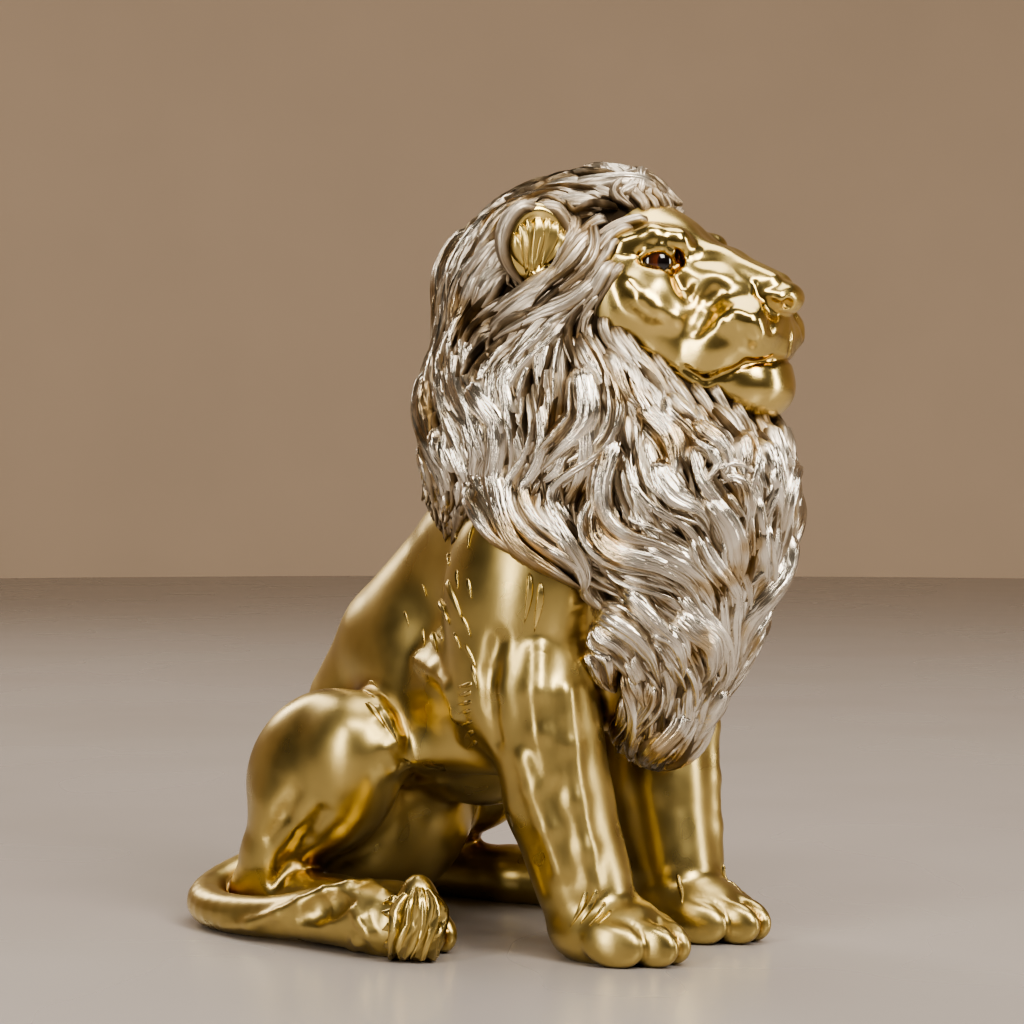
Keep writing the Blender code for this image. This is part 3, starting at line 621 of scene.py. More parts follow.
# How the hair of the right side runs, as strokes drawn from root to tip. The left side mirrors them.
STROKES = [
    [(3.5, -18.5, 90), (0.5, -16.5, 92), (-3, -14.5, 92.5), (-5, -11.5, 92.5), (-6, -8, 92)],
    [(4, -19, 92.5), (3, -14.5, 94.5), (0.5, -12, 95), (-1.5, -9, 94), (-6, -7.5, 92), (-5, -2, 91)],
    [(-4.5, -16, 90.5), (1, -16, 92.5), (4.5, -17, 91.5), (4, -19.5, 89.5)],
    [(-6, -15.5, 90), (-7, -12.5, 91), (-7.5, -9, 91), (-7.5, -4, 90), (-9.5, -3, 88), (-12, -2.5, 85),
     (-13.5, -2, 81.5)],
    [(-6, -18, 87.5), (-7, -16, 88.5), (-8, -15.5, 87.5), (-9.5, -17, 85), (-11, -17, 82.5),
     (-12.5, -15, 80.5), (-13.5, -13, 78.5), (-14.5, -10, 77.5), (-15, -6.5, 76), (-14.5, -2, 73.5)],
    [(-8.5, -19, 83), (-10.5, -18.5, 80.5), (-12, -16.5, 78.5), (-14, -13, 77), (-15, -9.5, 75),
     (-15.5, -6, 72.5), (-16, -3.5, 69)],
    [(-12, -4.5, 86), (-12.5, -3, 84), (-13, -1, 81.5), (-13, 0.5, 78.5), (-13, 1.5, 75),
     (-14.5, 0, 71.5)],
    [(-6.5, 0.5, 89.5), (-7.5, 3, 86.5), (-9, 5.5, 83), (-10, 6.5, 79.5), (-9.5, 7, 75.5),
     (-9.5, 7, 71.5)],
    [(-13.5, -14.5, 74.5), (-12.5, -17.5, 73), (-12, -20, 70), (-12, -22, 65.5), (-13, -22, 61.5),
     (-13.5, -19.5, 59.5), (-14.5, -16, 58), (-15, -14, 55), (-15.5, -15, 52), (-14.5, -16.5, 49),
     (-11.5, -19, 47), (-10.5, -23.5, 46), (-9, -27.5, 44), (-7.5, -29.5, 42.5)],
    [(-15, -11, 73), (-16, -9.5, 70), (-16.5, -9, 66), (-16.5, -9.5, 61.5), (-16, -8, 57),
     (-17.5, -10, 52.5), (-18, -12.5, 49), (-16, -16, 46.5), (-12.5, -17.5, 44)],
    [(-14.5, -13.5, 72.5), (-16, -12.5, 68), (-15.5, -14.5, 64), (-15.5, -14, 60.5), (-15.5, -11, 57),
     (-16.5, -11, 54), (-17, -13.5, 51), (-15, -16.5, 48.5), (-11, -19, 45.5), (-10, -24.5, 43),
     (-8.5, -27, 39.5)],
    [(-13, -17, 73), (-13, -18.5, 68.5), (-14, -19, 64), (-15, -16, 61), (-15, -13.5, 58),
     (-15.5, -12.5, 54.5)],
    [(-15.5, -3, 69.5), (-16.5, -6.5, 66.5), (-17, -8.5, 63.5), (-16.5, -8, 60), (-16, -6, 57)],
    [(-14, 2, 68.5), (-16, -2, 66), (-16.5, -5.5, 64), (-16.5, -6.5, 60.5), (-16, -5, 57.5),
     (-17, -7, 54), (-18, -10.5, 50.5)],
    [(-14, 3, 64.5), (-15.5, 0.5, 62), (-15, -0.5, 58.5), (-13, 1, 55)],
    [(-10, 8, 66.5), (-12, 6, 63), (-13, 4, 59), (-12, 3.5, 55.5)],
    [(-16.5, -5, 61.5), (-16, -4.5, 58), (-16.5, -6, 54), (-18, -10, 50.5), (-17.5, -14, 47.5)],
    [(-11.5, -19, 73.5), (-11, -21.5, 71), (-10.5, -24, 67), (-10, -26.5, 64.5), (-10, -29, 63)],
    [(-10, -22.5, 71), (-9.5, -26, 67.5), (-10, -28, 63.5), (-9.5, -30, 60.5), (-9, -31, 60)],
    [(-9, -26, 68), (-9, -28.5, 65.5), (-8.5, -30.5, 63), (-8.5, -32, 60)],
    [(-8, -30, 66), (-8, -31.5, 63), (-7, -33, 61), (-7, -34, 58.5), (-8, -33, 57), (-8.5, -32, 55)],
    [(-11.5, -24, 64.5), (-12, -25, 60.5), (-12, -26, 57), (-11, -27.5, 54.5), (-9.5, -30.5, 52),
     (-8, -31.5, 49.5), (-6.5, -31.5, 46), (-5.5, -31.5, 42.5)],
    [(-12, -22.5, 66.5), (-12.5, -23, 61.5), (-12.5, -22.5, 57.5), (-12.5, -22.5, 54), (-12, -24, 51.5),
     (-10.5, -28, 50), (-8.5, -30.5, 48), (-7, -31, 45.5), (-6, -31.5, 42.5)],
    [(-13, -21, 58), (-13, -20, 54.5), (-12, -20, 51), (-11.5, -23, 48.5), (-10, -27, 47),
     (-7.5, -30, 44), (-6.5, -30.5, 40.5)],
    [(-10.5, -28, 61.5), (-11, -28, 58), (-10.5, -29.5, 54.5), (-8.5, -32, 52.5), (-7, -33, 49.5)],
    [(-4.5, -34, 64.5), (-3.5, -35.5, 62), (-3, -36, 59), (-4, -36, 56), (-5, -35, 53)],
    [(-0.5, -35.5, 64), (0, -36.5, 61), (0.5, -37, 57.5), (-1, -36.5, 53.5), (-1.5, -36, 49.5)],
    [(-8.5, -32, 54.5), (-8, -33, 57), (-6, -34.5, 58), (-4, -35.5, 57), (-3, -36, 54), (-3, -35.5, 50),
     (-2.5, -34, 46)],
    [(-7, -34, 54.5), (-5.5, -34, 50.5), (-5, -33.5, 47), (-2.5, -33.5, 43), (-1, -33.5, 38.5),
     (-2, -32.5, 35), (-3, -30.5, 31.5)],
    [(-0.5, -37, 54.5), (-1, -36.5, 51), (0, -35.5, 47.5), (2, -34, 44), (2, -33.5, 39)],
    [(-11, -19, 45.5), (-10, -24.5, 43.5), (-8.5, -27.5, 40), (-7, -29.5, 37), (-5.5, -30, 33.5),
     (-3.5, -28, 29.5)],
    [(-12, -17, 42.5), (-9.5, -19.5, 41), (-9.5, -24, 38.5), (-8.5, -25.5, 36), (-7, -25, 31)],
    [(-10.5, -16.5, 40.5), (-9.5, -18, 39.5), (-9, -20.5, 37), (-8, -21.5, 33)],
    [(-9, -17, 38), (-8, -18, 35), (-7, -19, 32)],
    [(-9, -26.5, 43), (-7.5, -29.5, 40), (-5.5, -31.5, 37), (-4, -31, 33.5), (-3.5, -29, 30.5)],
    [(-9.5, -24, 41), (-8.5, -27.5, 38), (-7, -28.5, 34.5), (-5.5, -27.5, 31)],
    [(-4, -27, 36), (-3, -26, 32.5), (-2, -24, 29.5), (-1, -21.5, 26.5), (-0.3, -19.5, 23.8)],
    [(-6, -24.5, 36), (-5.2, -22.5, 32), (-3.8, -20.5, 28.5), (-2, -19, 25.8), (-0.6, -18.5, 23.8)],
    [(-1.5, -28, 35), (-1, -26.5, 31.5), (-0.3, -24, 28), (0, -21, 25)],
]


class Hair:
    """Where locks of hair grow on the figure, which way they run, and the line of each."""

    def __init__(self, figure, bare):
        self.figure = figure
        self.mane = Group(mane())
        self.bare = bare
        self.strokes = [np.array(stroke, float) for stroke in STROKES]
        self.strokes += [stroke * MIRROR for stroke in self.strokes]
        self.middles = np.concatenate([(s[1:] + s[:-1]) / 2 for s in self.strokes])
        runs = np.concatenate([s[1:] - s[:-1] for s in self.strokes])
        self.runs = runs / np.linalg.norm(runs, axis=1, keepdims=True)

    def heading(self, points, away):
        """The way the hair runs over the surface at each point."""
        gap = ((points[:, None] - self.middles) ** 2).sum(2)
        flow = np.exp(-gap / STROKE_SPREAD) @ self.runs
        wave = 0.55 * np.sin(0.42 * points[:, 2] + 0.5 * points[:, 0])
        down = np.stack([wave, 0 * wave, -1 + 0 * wave], 1)
        flow = flow + 0.06 * down
        flow -= (flow * away).sum(1, keepdims=True) * away
        return flow / np.maximum(np.linalg.norm(flow, axis=1, keepdims=True), 1e-6)

    def roots(self, spacing, rng, clearances, edge):
        """Evenly spread points on the mane or up to edge off it, clear of the face and of the ears
        by so much each."""
        starts = []
        ends = []
        for row in range(int(ROWS_LENGTH / spacing)):
            along = row * spacing
            lift = math.pi / 2 - along / DOME_RADIUS if along < DOME_ARC else 0.0
            level = DOME_HEIGHT if along < DOME_ARC else DOME_HEIGHT - (along - DOME_ARC)
            around = max(1, round(2 * math.pi * DOME_RADIUS * math.cos(lift) / spacing))
            for k in range(around):
                angle = 2 * math.pi * (k + 0.5 * (row % 2) + rng.uniform(-0.2, 0.2)) / around
                out = [math.cos(lift) * math.cos(angle), math.cos(lift) * math.sin(angle), math.sin(lift)]
                lean = -9 - 0.12 * max(0, DOME_HEIGHT - level)
                middle = np.array([0.5, lean, level + rng.uniform(-0.5, 0.5)])
                starts.append(middle + 60 * np.array(out))
                ends.append(middle)
        points = np.array(starts)
        ahead = np.array(ends) - points
        ahead /= np.linalg.norm(ahead, axis=1, keepdims=True)
        for _ in range(60):
            points = points + ahead * np.maximum(0.6 * self.figure.distance(points), 0)[:, None]
        on = (self.mane.distance(points) < edge) & (points[:, 2] > LOWEST_ROOT)
        for group, clearance in zip(self.bare, clearances):
            on &= group.distance(points) > clearance
        kept = points[on][:1]
        for point in points[on][1:]:
            if np.linalg.norm(kept - point, axis=1).min() > 0.8 * spacing:
                kept = np.vstack([kept, point])
        return kept

    def trace(self, roots, length, steps, curls, lift, clearances):
        """Follows the hair from each root. Towards the tip the path bends aside by its curl."""
        path = [roots]
        points = roots
        for step in range(steps):
            away, _ = self.figure.normals(points)
            run = self.heading(points, away)
            if step > 1:
                run = run + 0.5 * last
            bend = curls[:, None] * max(0.0, step / steps - 0.55) * np.cross(away, run)
            run = run + bend
            run /= np.linalg.norm(run, axis=1, keepdims=True)
            points = self.figure.settle(points + run * (length / steps)[:, None], rounds=1, lift=lift)
            last = run
            path.append(points)
        path = np.stack(path, 1)
        flat = path.reshape(-1, 3)
        clear = self.mane.distance(flat) < 3.2
        for group, clearance in zip(self.bare, clearances):
            clear &= group.distance(flat) > clearance
        return [line[: self.end(free)] for line, free in zip(path, clear.reshape(path.shape[:2]))]

    def end(self, free):
        """Where a line first runs over the face or an ear, or off the mane."""
        blocked = np.flatnonzero(~free)
        return blocked[0] if len(blocked) else len(free)


def resampled(line, count):
    """The same line with evenly spaced points."""
    gaps = np.linalg.norm(np.diff(line[:, :3], axis=0), axis=1)
    along = np.concatenate([[0.0], np.cumsum(gaps)])
    at = np.linspace(0, along[-1], count)
    return np.stack([np.interp(at, along, column) for column in line.T], 1)


def softened(line, rounds=2):
    """The line with its corners rounded; its ends stay."""
    for _ in range(rounds):
        line = np.concatenate([line[:1], (line[:-2] + 2 * line[1:-1] + line[2:]) / 4, line[-1:]])
    return line


def nearest_of(groups, points):
    """The distance from each point to the nearest of some groups."""
    return np.min([group.distance(points) for group in groups], axis=0)


def shape_mesh(name, operator, **settings):
    """A new mesh of one basic shape."""
    bm = bmesh.new()
    operator(bm, **settings)
    mesh = bpy.data.meshes.new(name)
    bm.to_mesh(mesh)
    bm.free()
    return mesh


def new_object(name, data):
    obj = bpy.data.objects.new(name, data)
    bpy.context.scene.collection.objects.link(obj)
    return obj


def mesh_points(mesh):
    points = np.empty(len(mesh.vertices) * 3)
    mesh.vertices.foreach_get("co", points)
    return points.reshape(-1, 3)


def grounded(mesh):
    """Lifts what is below the ground onto it."""
    points = mesh_points(mesh)
    points[:, 2] = np.maximum(points[:, 2], 0.0)
    mesh.vertices.foreach_set("co", points.ravel())


def modified(mesh, kind, **settings):
    """The mesh after one modifier."""
    obj = new_object("work", mesh)
    modifier = obj.modifiers.new(kind, kind)
    for name, value in settings.items():
        setattr(modifier, name, value)
    bpy.context.view_layer.update()
    done = bpy.data.meshes.new_from_object(obj.evaluated_get(bpy.context.evaluated_depsgraph_get()))
    bpy.data.objects.remove(obj)
    return done


def keep_outer_shell(mesh):
    """Removes the small closed shells that lie inside a skin."""
    bm = bmesh.new()
    bm.from_mesh(mesh)
    left = set(bm.verts)
    shells = []
    while left:
        stack = [left.pop()]
        shell = []
        while stack:
            vert = stack.pop()
            shell.append(vert)
            for edge in vert.link_edges:
                other = edge.other_vert(vert)
                if other in left:
                    left.discard(other)
                    stack.append(other)
        shells.append(shell)
    shells.sort(key=len)
    for shell in shells[:-1]:
        bmesh.ops.delete(bm, geom=shell, context="VERTS")
    bm.to_mesh(mesh)
    bm.free()


def copies_of(ball, count):
    """One mesh that holds a shape so many times, all in the same place."""
    return modified(ball, "ARRAY", count=count, use_relative_offset=False)


def relaxed(points, edges):
    """Each point moved to the middle of its neighbours."""
    total = np.zeros_like(points)
    count = np.zeros(len(points))
    for a, b in (edges.T, edges.T[::-1]):
        for axis in range(3):
            total[:, axis] += np.bincount(a, points[b, axis], len(points))
        count += np.bincount(a, minlength=len(points))
    return total / count[:, None]


def cast_skin(form, voxel):
    """The closed skin of a form: balls roughly fill it, a voxel remesh joins them, and every
    vertex is then moved onto the true surface."""
    places = np.array([np.array(ball) for group in form.groups for ball in group.balls()])
    ball = shape_mesh("ball", bmesh.ops.create_icosphere, subdivisions=4, radius=1.0)
    one = mesh_points(ball)
    cloud = copies_of(ball, len(places))
    spread = np.einsum("nij,vj->nvi", places[:, :3, :3], one) + places[:, None, :3, 3]
    cloud.vertices.foreach_set("co", spread.ravel())
    skin = modified(cloud, "REMESH", mode="VOXEL", voxel_size=voxel)
    keep_outer_shell(skin)
    edges = np.empty(len(skin.edges) * 2, int)
    skin.edges.foreach_get("vertices", edges)
    edges = edges.reshape(-1, 2)
    points = form.settle(mesh_points(skin), rounds=3)
    away, _ = form.normals(points)
    for _ in range(3):
        points = relaxed(points, edges)
        points -= away * form.distance(points).clip(-1, 1)[:, None]
    points = form.settle(points, rounds=2)
    skin.vertices.foreach_set("co", points.ravel())
    return skin, points


def openness(form, points, away):
    """How open the surface is at each point: 1 on a swelling, near 0 deep in a crease. The gold is darkened
    by it as painted shade.
    """
    total = np.zeros(len(points))
    for reach, weight in ((0.8, 0.45), (2.0, 0.35), (4.5, 0.2)):
        total += weight * np.clip(form.distance(points + away * reach) / reach, 0, 1)
    return total


def set_attribute(mesh, name, values):
    kind = "FLOAT" if values.ndim == 1 else "FLOAT_VECTOR"
    layer = mesh.attributes.new(name, kind, "POINT")
    layer.data.foreach_set("value" if values.ndim == 1 else "vector", values.astype(np.float32).ravel())


def piece(name, mesh, material):
    """Makes a finished mesh, in the figure's units, a piece of the lion."""
    mesh.transform(Matrix.Scale(UNIT, 4) @ Matrix.Translation(ORIGIN_SHIFT))
    mesh.name = name
    mesh.materials.clear()
    mesh.materials.append(material)
    mesh.shade_smooth()
    obj = new_object(name, mesh)
    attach(obj, "root")
    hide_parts("lion")


def lock_mesh(paths, away, widths, thicknesses, strands, rng, lift=0.6, under=5, ridge=0.5, sway=0.0,
              root=0.14):
    """Locks of hair, each of several strands, laid along their paths: sunk at the root, thick in
    the middle and pointed at the tip.

    Each lock is a sphere whose rings are laid out along its path, from its south pole to its
    north pole. Three faces of a ring make one strand, and the last few are the underside. Strands
    differ in height, and a deeper cleft parts each lock. sway swings a lock from side to side, and
    root is how far along its shape a lock starts: from 0 it starts in a point.
    """
    last = paths.shape[1] - 1
    top = 3 * strands
    around = top + under
    ball = shape_mesh("lock", bmesh.ops.create_uvsphere, u_segments=around, v_segments=last, radius=1.0)
    shape = mesh_points(ball)
    pole = np.hypot(shape[:, 0], shape[:, 1]) < 1e-5
    turn = np.arctan2(shape[:, 1], shape[:, 0]) % (2 * math.pi)
    k = np.rint(turn / (2 * math.pi) * around).astype(int) % around
    upper = (k <= top) & ~pole
    below = (k - top) / under
    across = np.where(upper, 2 * k / top - 1, 1 - 2 * below)
    across = np.where(pole, 0.0, across)
    high = np.where(upper, (1 - np.abs(across) ** 2.2).clip(0) ** 0.7, -0.5 * np.sin(math.pi * below))
    high = np.where(pole, 0.0, high)
    groove = np.where(upper & (k % 3 > 0), 1.0, 0.0)
    t = np.arccos(np.clip(-shape[:, 2], -1, 1)) / math.pi
    at = np.rint(t * last).astype(int)
    full = np.sin(math.pi * np.minimum(root + (1 - root) * t, 0.975) ** 0.85)

    count = len(paths)
    run = np.gradient(paths, axis=1)
    side = np.cross(away, run)
    side /= np.maximum(np.linalg.norm(side, axis=2, keepdims=True), 1e-6)
    phase = rng.uniform(0, 2 * math.pi, (count, 1))
    tall = rng.uniform(0.25, 1.0, (count, strands + 1))[:, np.minimum(k // 3, strands)]
    cleft = rng.uniform(-0.45, 0.45, (count, 1)) + 0.2 * np.sin(4 * t + phase)
    parted = 0.55 * np.exp(-(((across - cleft) / 0.13) ** 2)) * np.clip(2.5 * t, 0, 1) * upper * full
    warp = 0.16 * np.sin(2.5 * across + phase + 3 * t) * (1 - across**2)
    roll = rng.uniform(-0.5, 0.5, (count, 1)) * np.sin(math.pi * t + 0.5 * phase)
    swing = sway * np.sin(rng.uniform(5.0, 8.5, (count, 1)) * t + phase) * np.clip(3 * t, 0, 1)
    aside = 0.5 * widths[:, None] * full * (across + warp)
    rise = (0.2 + 0.8 * full) * high + roll * across * full - parted * (strands > 2)
    rise *= thicknesses[:, None]
    rise += ridge * widths[:, None] / strands * full * groove * tall
    rise += lift * np.clip((t - 0.55) / 0.45, 0, 1) ** 2 - 0.2
    rise -= thicknesses[:, None] * 1.1 * np.clip(1 - t / 0.2, 0, 1)
    points = paths[:, at] + side[:, at] * (aside + swing)[..., None] + away[:, at] * rise[..., None]
    locks = copies_of(ball, count)
    locks.vertices.foreach_set("co", points.ravel())

    length = np.linalg.norm(np.diff(paths, axis=1), axis=2).sum(1)[:, None]
    # crest is high on a lock's top and strands, low at its sides, in its cleft and near the figure; the
    # silvering browns and darkens the low places from it, as patina and as painted shade.
    crest = 0.05 + 0.16 * rise + 0.28 * groove * full * tall + 0.25 * high * full - 0.6 * parted
    which = np.broadcast_to(np.arange(count)[:, None] * 7.3, aside.shape)
    set_attribute(locks, "crest", np.clip(crest, 0, 1).ravel())
    set_attribute(locks, "strand", np.stack([aside, t * length, which], -1).reshape(-1, 3))
    return locks


def laid(figure, paths, rings, lift=0.0):
    """Paths with the same number of points each, on the figure, and the way out from it there."""
    paths = np.stack([softened(resampled(path, rings)) for path in paths])
    points = figure.settle(paths.reshape(-1, 3), rounds=3, lift=lift)
    away = figure.normals(points)[0].reshape(paths.shape)
    return points.reshape(paths.shape), away


def ear_rings():
    """Paths of hair round both ears, from the top down each side to the lower point."""
    turn, middle = head_axes()
    angle = np.radians(np.linspace(100, -55, 11))
    paths = []
    for shell in ears()[0][:2]:
        for wide, back in ((1.07, -0.28), (1.2, 0.1), (1.36, 0.5)):
            for side in (-1, 1):
                across = np.append(wide * np.cos(angle), [0.35, 0.05]) * side
                up = np.append(wide * np.sin(angle), [-1.1, -1.35])
                local = np.stack([across, np.full(len(up), back), up], 1) * shell.radii
                head_points = local @ np.array(shell.turn).T + shell.centre
                paths.append(head_points @ turn.T + middle)
    return paths


def mane_locks(figure, bare):
    """The mane in layers: a bed of flat locks, waved locks over it, the drawn curls, fine wisps."""
    rng = np.random.default_rng(MANE_SEED)
    hair = Hair(figure, bare)

    def grown(spacing, length, bend, steps, rings, clearances, lift=0.0, edge=0.7, reach=FAR):
        """Paths of hair from evenly spread roots, of about one length, each with its own bend."""
        roots = hair.roots(spacing, rng, clearances, edge)
        roots = roots[nearest_of(bare, roots) < reach]
        if lift:
            roots = figure.settle(roots, rounds=2, lift=lift)
        lengths = length * rng.uniform(0.75, 1.25, len(roots))
        curls = rng.choice([-1.0, 1.0], len(roots)) * rng.uniform(0.3, bend, len(roots))
        stops = np.minimum(clearances, 0.7)
        lines = [line for line in hair.trace(roots, lengths, steps, curls, lift, stops) if len(line) > 4]
        return laid(figure, lines, rings, lift)

    def shaped(placed, width, thickness, strands, least=0.4, **shape):
        """Locks on their paths. Close to the face and the ears they are finer, down to least."""
        near = nearest_of(bare, placed[0][:, placed[0].shape[1] // 2])
        sizes = rng.uniform(0.8, 1.2, len(near)) * np.clip(least + near / FULL_WIDTH_AWAY, least, 1.0)
        return lock_mesh(*placed, width * sizes, thickness * sizes, strands, rng, **shape)

    bed = grown(spacing=2.9, length=14, bend=1.4, steps=12, rings=13, clearances=(0.1, 0.5))
    waves = grown(spacing=5.2, length=21, bend=1.8, steps=14, rings=24, clearances=(1.2, 2.0))
    curls = laid(figure, hair.strokes, rings=29)
    fringe = grown(
        spacing=1.9, length=8, bend=1.6, steps=9, rings=12, clearances=(0.05, 0.4), edge=1.2, reach=4.5,
    )
    ring = laid(figure, ear_rings(), rings=20)
    wisps = grown(spacing=3.0, length=13, bend=2.6, steps=10, rings=13, clearances=(1.2, 1.6), lift=1.3)
    return {
        "mane_bed": shaped(bed, 4.0, 1.5, strands=4, least=0.65, lift=0.5, under=3),
        "mane_waves": shaped(waves, 4.4, 2.2, strands=6, sway=0.9, lift=0.9, root=0.08),
        "mane_curls": shaped(curls, 4.8, 2.8, strands=7, sway=0.4, lift=0.9, root=0.04),
        "mane_fringe": shaped(fringe, 1.6, 0.9, strands=3, least=0.8, lift=0.4, under=3, root=0.3),
        "ear_hair": shaped(ring, 2.0, 1.2, strands=4, least=1.0, lift=0.3, under=3),
        "mane_wisps": shaped(wisps, 1.2, 0.9, strands=1, least=0.6, sway=0.5, under=3, ridge=0.2),
    }


# The longest tip of fur: where the body turns away from the photograph, drawn lines would be longer.
LONGEST_TIP = 7.0


def gold_fur(figure, body, ear):
    """Pointed tips of fur on the flanks, elbows, haunches and wrists, and strands in the ears, on
    both sides alike."""
    lines = seen(body, FLANK_FUR + ELBOW_FRINGE + HAUNCH_FUR + WRIST_FUR + MANE_EDGE_FUR)
    for line in lines:
        line += (line.mean(0) - line) * max(0.0, 1 - LONGEST_TIP / np.linalg.norm(line[-1] - line[0]))
    lines += [line * MIRROR for line in lines]
    strands = seen(ear, EAR_FUR)
    turn, middle = head_axes()
    strands += [((line - middle) @ turn * MIRROR) @ turn.T + middle for line in strands]
    placed = laid(figure, lines + strands, rings=10)
    length = np.linalg.norm(np.diff(placed[0], axis=1), axis=2).sum(1)
    widths = np.where(np.arange(len(length)) < len(lines), 0.3 + 0.11 * length, 2.0)
    rng = np.random.default_rng(FUR_SEED)
    return lock_mesh(*placed, widths, 0.5 * widths, strands=2, rng=rng, lift=0.3, under=3, root=0.02)


def tuft_locks():
    """Leaves of hair over the end of the tail, with a fringe behind them."""
    rng = np.random.default_rng(TUFT_SEED)
    heel_and_foot = hind_leg()[3:]
    foot = Form(Group(tail() + heel_and_foot))
    leaves = laid(foot, seen(foot, TUFT_LEAVES), rings=20)
    fringe = laid(foot, seen(foot, TUFT_FRINGE), rings=14)
    wide = np.full(len(TUFT_LEAVES), 2.4)
    narrow = np.full(len(TUFT_FRINGE), 1.4)
    return {
        "tail_leaves": lock_mesh(
            *leaves, wide, 0.7 * wide, strands=3, rng=rng, lift=0.1, sway=0.1, root=0.1,
        ),
        "tail_fringe": lock_mesh(
            *fringe, narrow, 0.7 * narrow, strands=2, rng=rng, lift=0.3, under=3, root=0.1,
        ),
    }


class Nodes:
    def __init__(self, name):
        self.material = bpy.data.materials.new(name)
        self.material.use_nodes = True
        self.tree = self.material.node_tree
        self.shader = self.tree.nodes["Principled BSDF"]

    def add(self, kind, inputs=None, **settings):
        node = self.tree.nodes.new("ShaderNode" + kind)
        for name, value in settings.items():
            setattr(node, name, value)
        for name, value in (inputs or {}).items():
            socket = self.socket(node, name)
            if isinstance(value, bpy.types.NodeSocket):
                self.tree.links.new(value, socket)
            else:
                socket.default_value = value
        return node

    def socket(self, node, name):
        """A node's input by its name or number. A Mix node has one of each name for each kind."""
        if isinstance(name, int):
            return node.inputs[name]
        return next(s for s in node.inputs if s.name == name and s.enabled)

    def ramp(self, source, *stops):
        """Colours along a value: each stop is (place, (red, green, blue))."""
        node = self.add("ValToRGB", {"Fac": source})
        while len(node.color_ramp.elements) < len(stops):
            node.color_ramp.elements.new(0.5)
        for element, (place, colour) in zip(node.color_ramp.elements, stops):
            element.position = place
            element.color = (*colour, 1) if isinstance(colour, tuple) else (colour, colour, colour, 1)
        return node.outputs["Color"]

    def result(self, node):
        return next(s for s in node.outputs if s.enabled)

    def finish(self, colour, roughness, normal):
        for name, value in (("Base Color", colour), ("Roughness", roughness), ("Normal", normal)):
            self.tree.links.new(value, self.shader.inputs[name])
        return self.material


def gold_plate(nodes, polish, shade):
    """Gold plate over a softly uneven casting, darker and browner in the creases as painted shade.
    polish is its roughness where it is brightest, and shade how far its whole colour is darkened,
    as painted shade."""
    place = nodes.add("TexCoord").outputs["Object"]
    crease_shade_openness = nodes.add("Attribute", attribute_name="open").outputs["Fac"]
    cloud = nodes.add("TexNoise", {"Vector": place, "Scale": 60.0, "Detail": 2.0}).outputs["Fac"]
    grain = nodes.add("TexNoise", {"Vector": place, "Scale": 1100.0, "Detail": 2.0}).outputs["Fac"]
    # Painted shade: the colour darkens and browns where the surface is least open, deep in the creases.
    gold = nodes.ramp(
        crease_shade_openness, (0.1, (0.26, 0.11, 0.025)), (0.4, (0.53, 0.34, 0.10)), (0.75, (0.73, 0.56, 0.22)),
    )
    # shade scales the whole gold colour down as painted shade: 1.0 on the face, 0.85 on the fur and tuft,
    # 0.75 on the body.
    dull = (0.84 * shade, 0.85 * shade, 0.86 * shade)
    tone = nodes.ramp(cloud, (0.35, dull), (0.65, (shade, shade, shade)))
    mix = {"Factor": 1.0, "A": gold, "B": tone}
    colour = nodes.add("Mix", mix, data_type="RGBA", blend_type="MULTIPLY")
    rough = nodes.ramp(cloud, (0.35, polish), (0.65, polish + 0.1))
    dents = nodes.add("Bump", {"Height": cloud, "Strength": 0.2, "Distance": 0.0008}).outputs["Normal"]
    bump = nodes.add("Bump", {"Height": grain, "Normal": dents, "Strength": 0.06, "Distance": 0.0002})
    return nodes.result(colour), rough, bump.outputs["Normal"]


def gilding():
    nodes = Nodes("gilding")
    nodes.shader.inputs["Metallic"].default_value = 1.0
    # The fur's gold is darkened to 0.85 as painted shade.
    return nodes.finish(*gold_plate(nodes, 0.22, 0.85))


def silvering():
    """Antiqued silver leaf: bright on the rubbed crests, brown in the recesses as patina and as painted
    shade, scored like hair, and left matt beige close to the face."""
    nodes = Nodes("silvering")
    place = nodes.add("TexCoord").outputs["Object"]
    crest = nodes.add("Attribute", attribute_name="crest").outputs["Fac"]
    matt = nodes.add("Attribute", attribute_name="matt").outputs["Fac"]
    strand = nodes.add("Attribute", attribute_name="strand").outputs["Vector"]
    stretched = nodes.add("Mapping", {"Vector": strand, "Scale": (4.2, 0.22, 1.0)}).outputs["Vector"]
    hairs = nodes.add("TexNoise", {"Vector": stretched, "Scale": 1.0, "Detail": 3.0}).outputs["Fac"]
    patch = nodes.add("TexNoise", {"Vector": place, "Scale": 60.0, "Detail": 2.0}).outputs["Fac"]
    wear_and_shade = nodes.add("Math", {0: hairs, 1: 0.35, 2: crest}, operation="MULTIPLY_ADD").outputs["Value"]
    # The ramp darkens and browns the low crests: antiqued patina, and painted shade in the recesses.
    silver = nodes.ramp(
        wear_and_shade, (0.25, (0.12, 0.085, 0.05)), (0.45, (0.31, 0.24, 0.16)), (0.68, (0.53, 0.46, 0.36)),
        (0.95, (0.76, 0.70, 0.60)),
    )
    rub = nodes.ramp(patch, (0.54, 0.0), (0.64, 0.7))
    warmed = nodes.add("Mix", {"Factor": rub, "A": silver, "B": (0.34, 0.22, 0.08, 1)}, data_type="RGBA")
    dulled = nodes.ramp(matt, (0.1, 0.0), (0.9, 0.55))
    beige = nodes.ramp(wear_and_shade, (0.3, (0.11, 0.08, 0.05)), (0.9, (0.56, 0.48, 0.38)))
    colour = nodes.add("Mix", {"Factor": dulled, "A": nodes.result(warmed), "B": beige}, data_type="RGBA")
    shine = nodes.ramp(wear_and_shade, (0.3, 0.5), (0.9, 0.2))
    rough = nodes.add("Mix", {"Factor": dulled, "A": shine, "B": 0.55}, data_type="FLOAT")
    bump = nodes.add("Bump", {"Height": hairs, "Strength": 0.8, "Distance": 0.0006})
    nodes.shader.inputs["Metallic"].default_value = 1.0
    return nodes.finish(nodes.result(colour), nodes.result(rough), bump.outputs["Normal"])


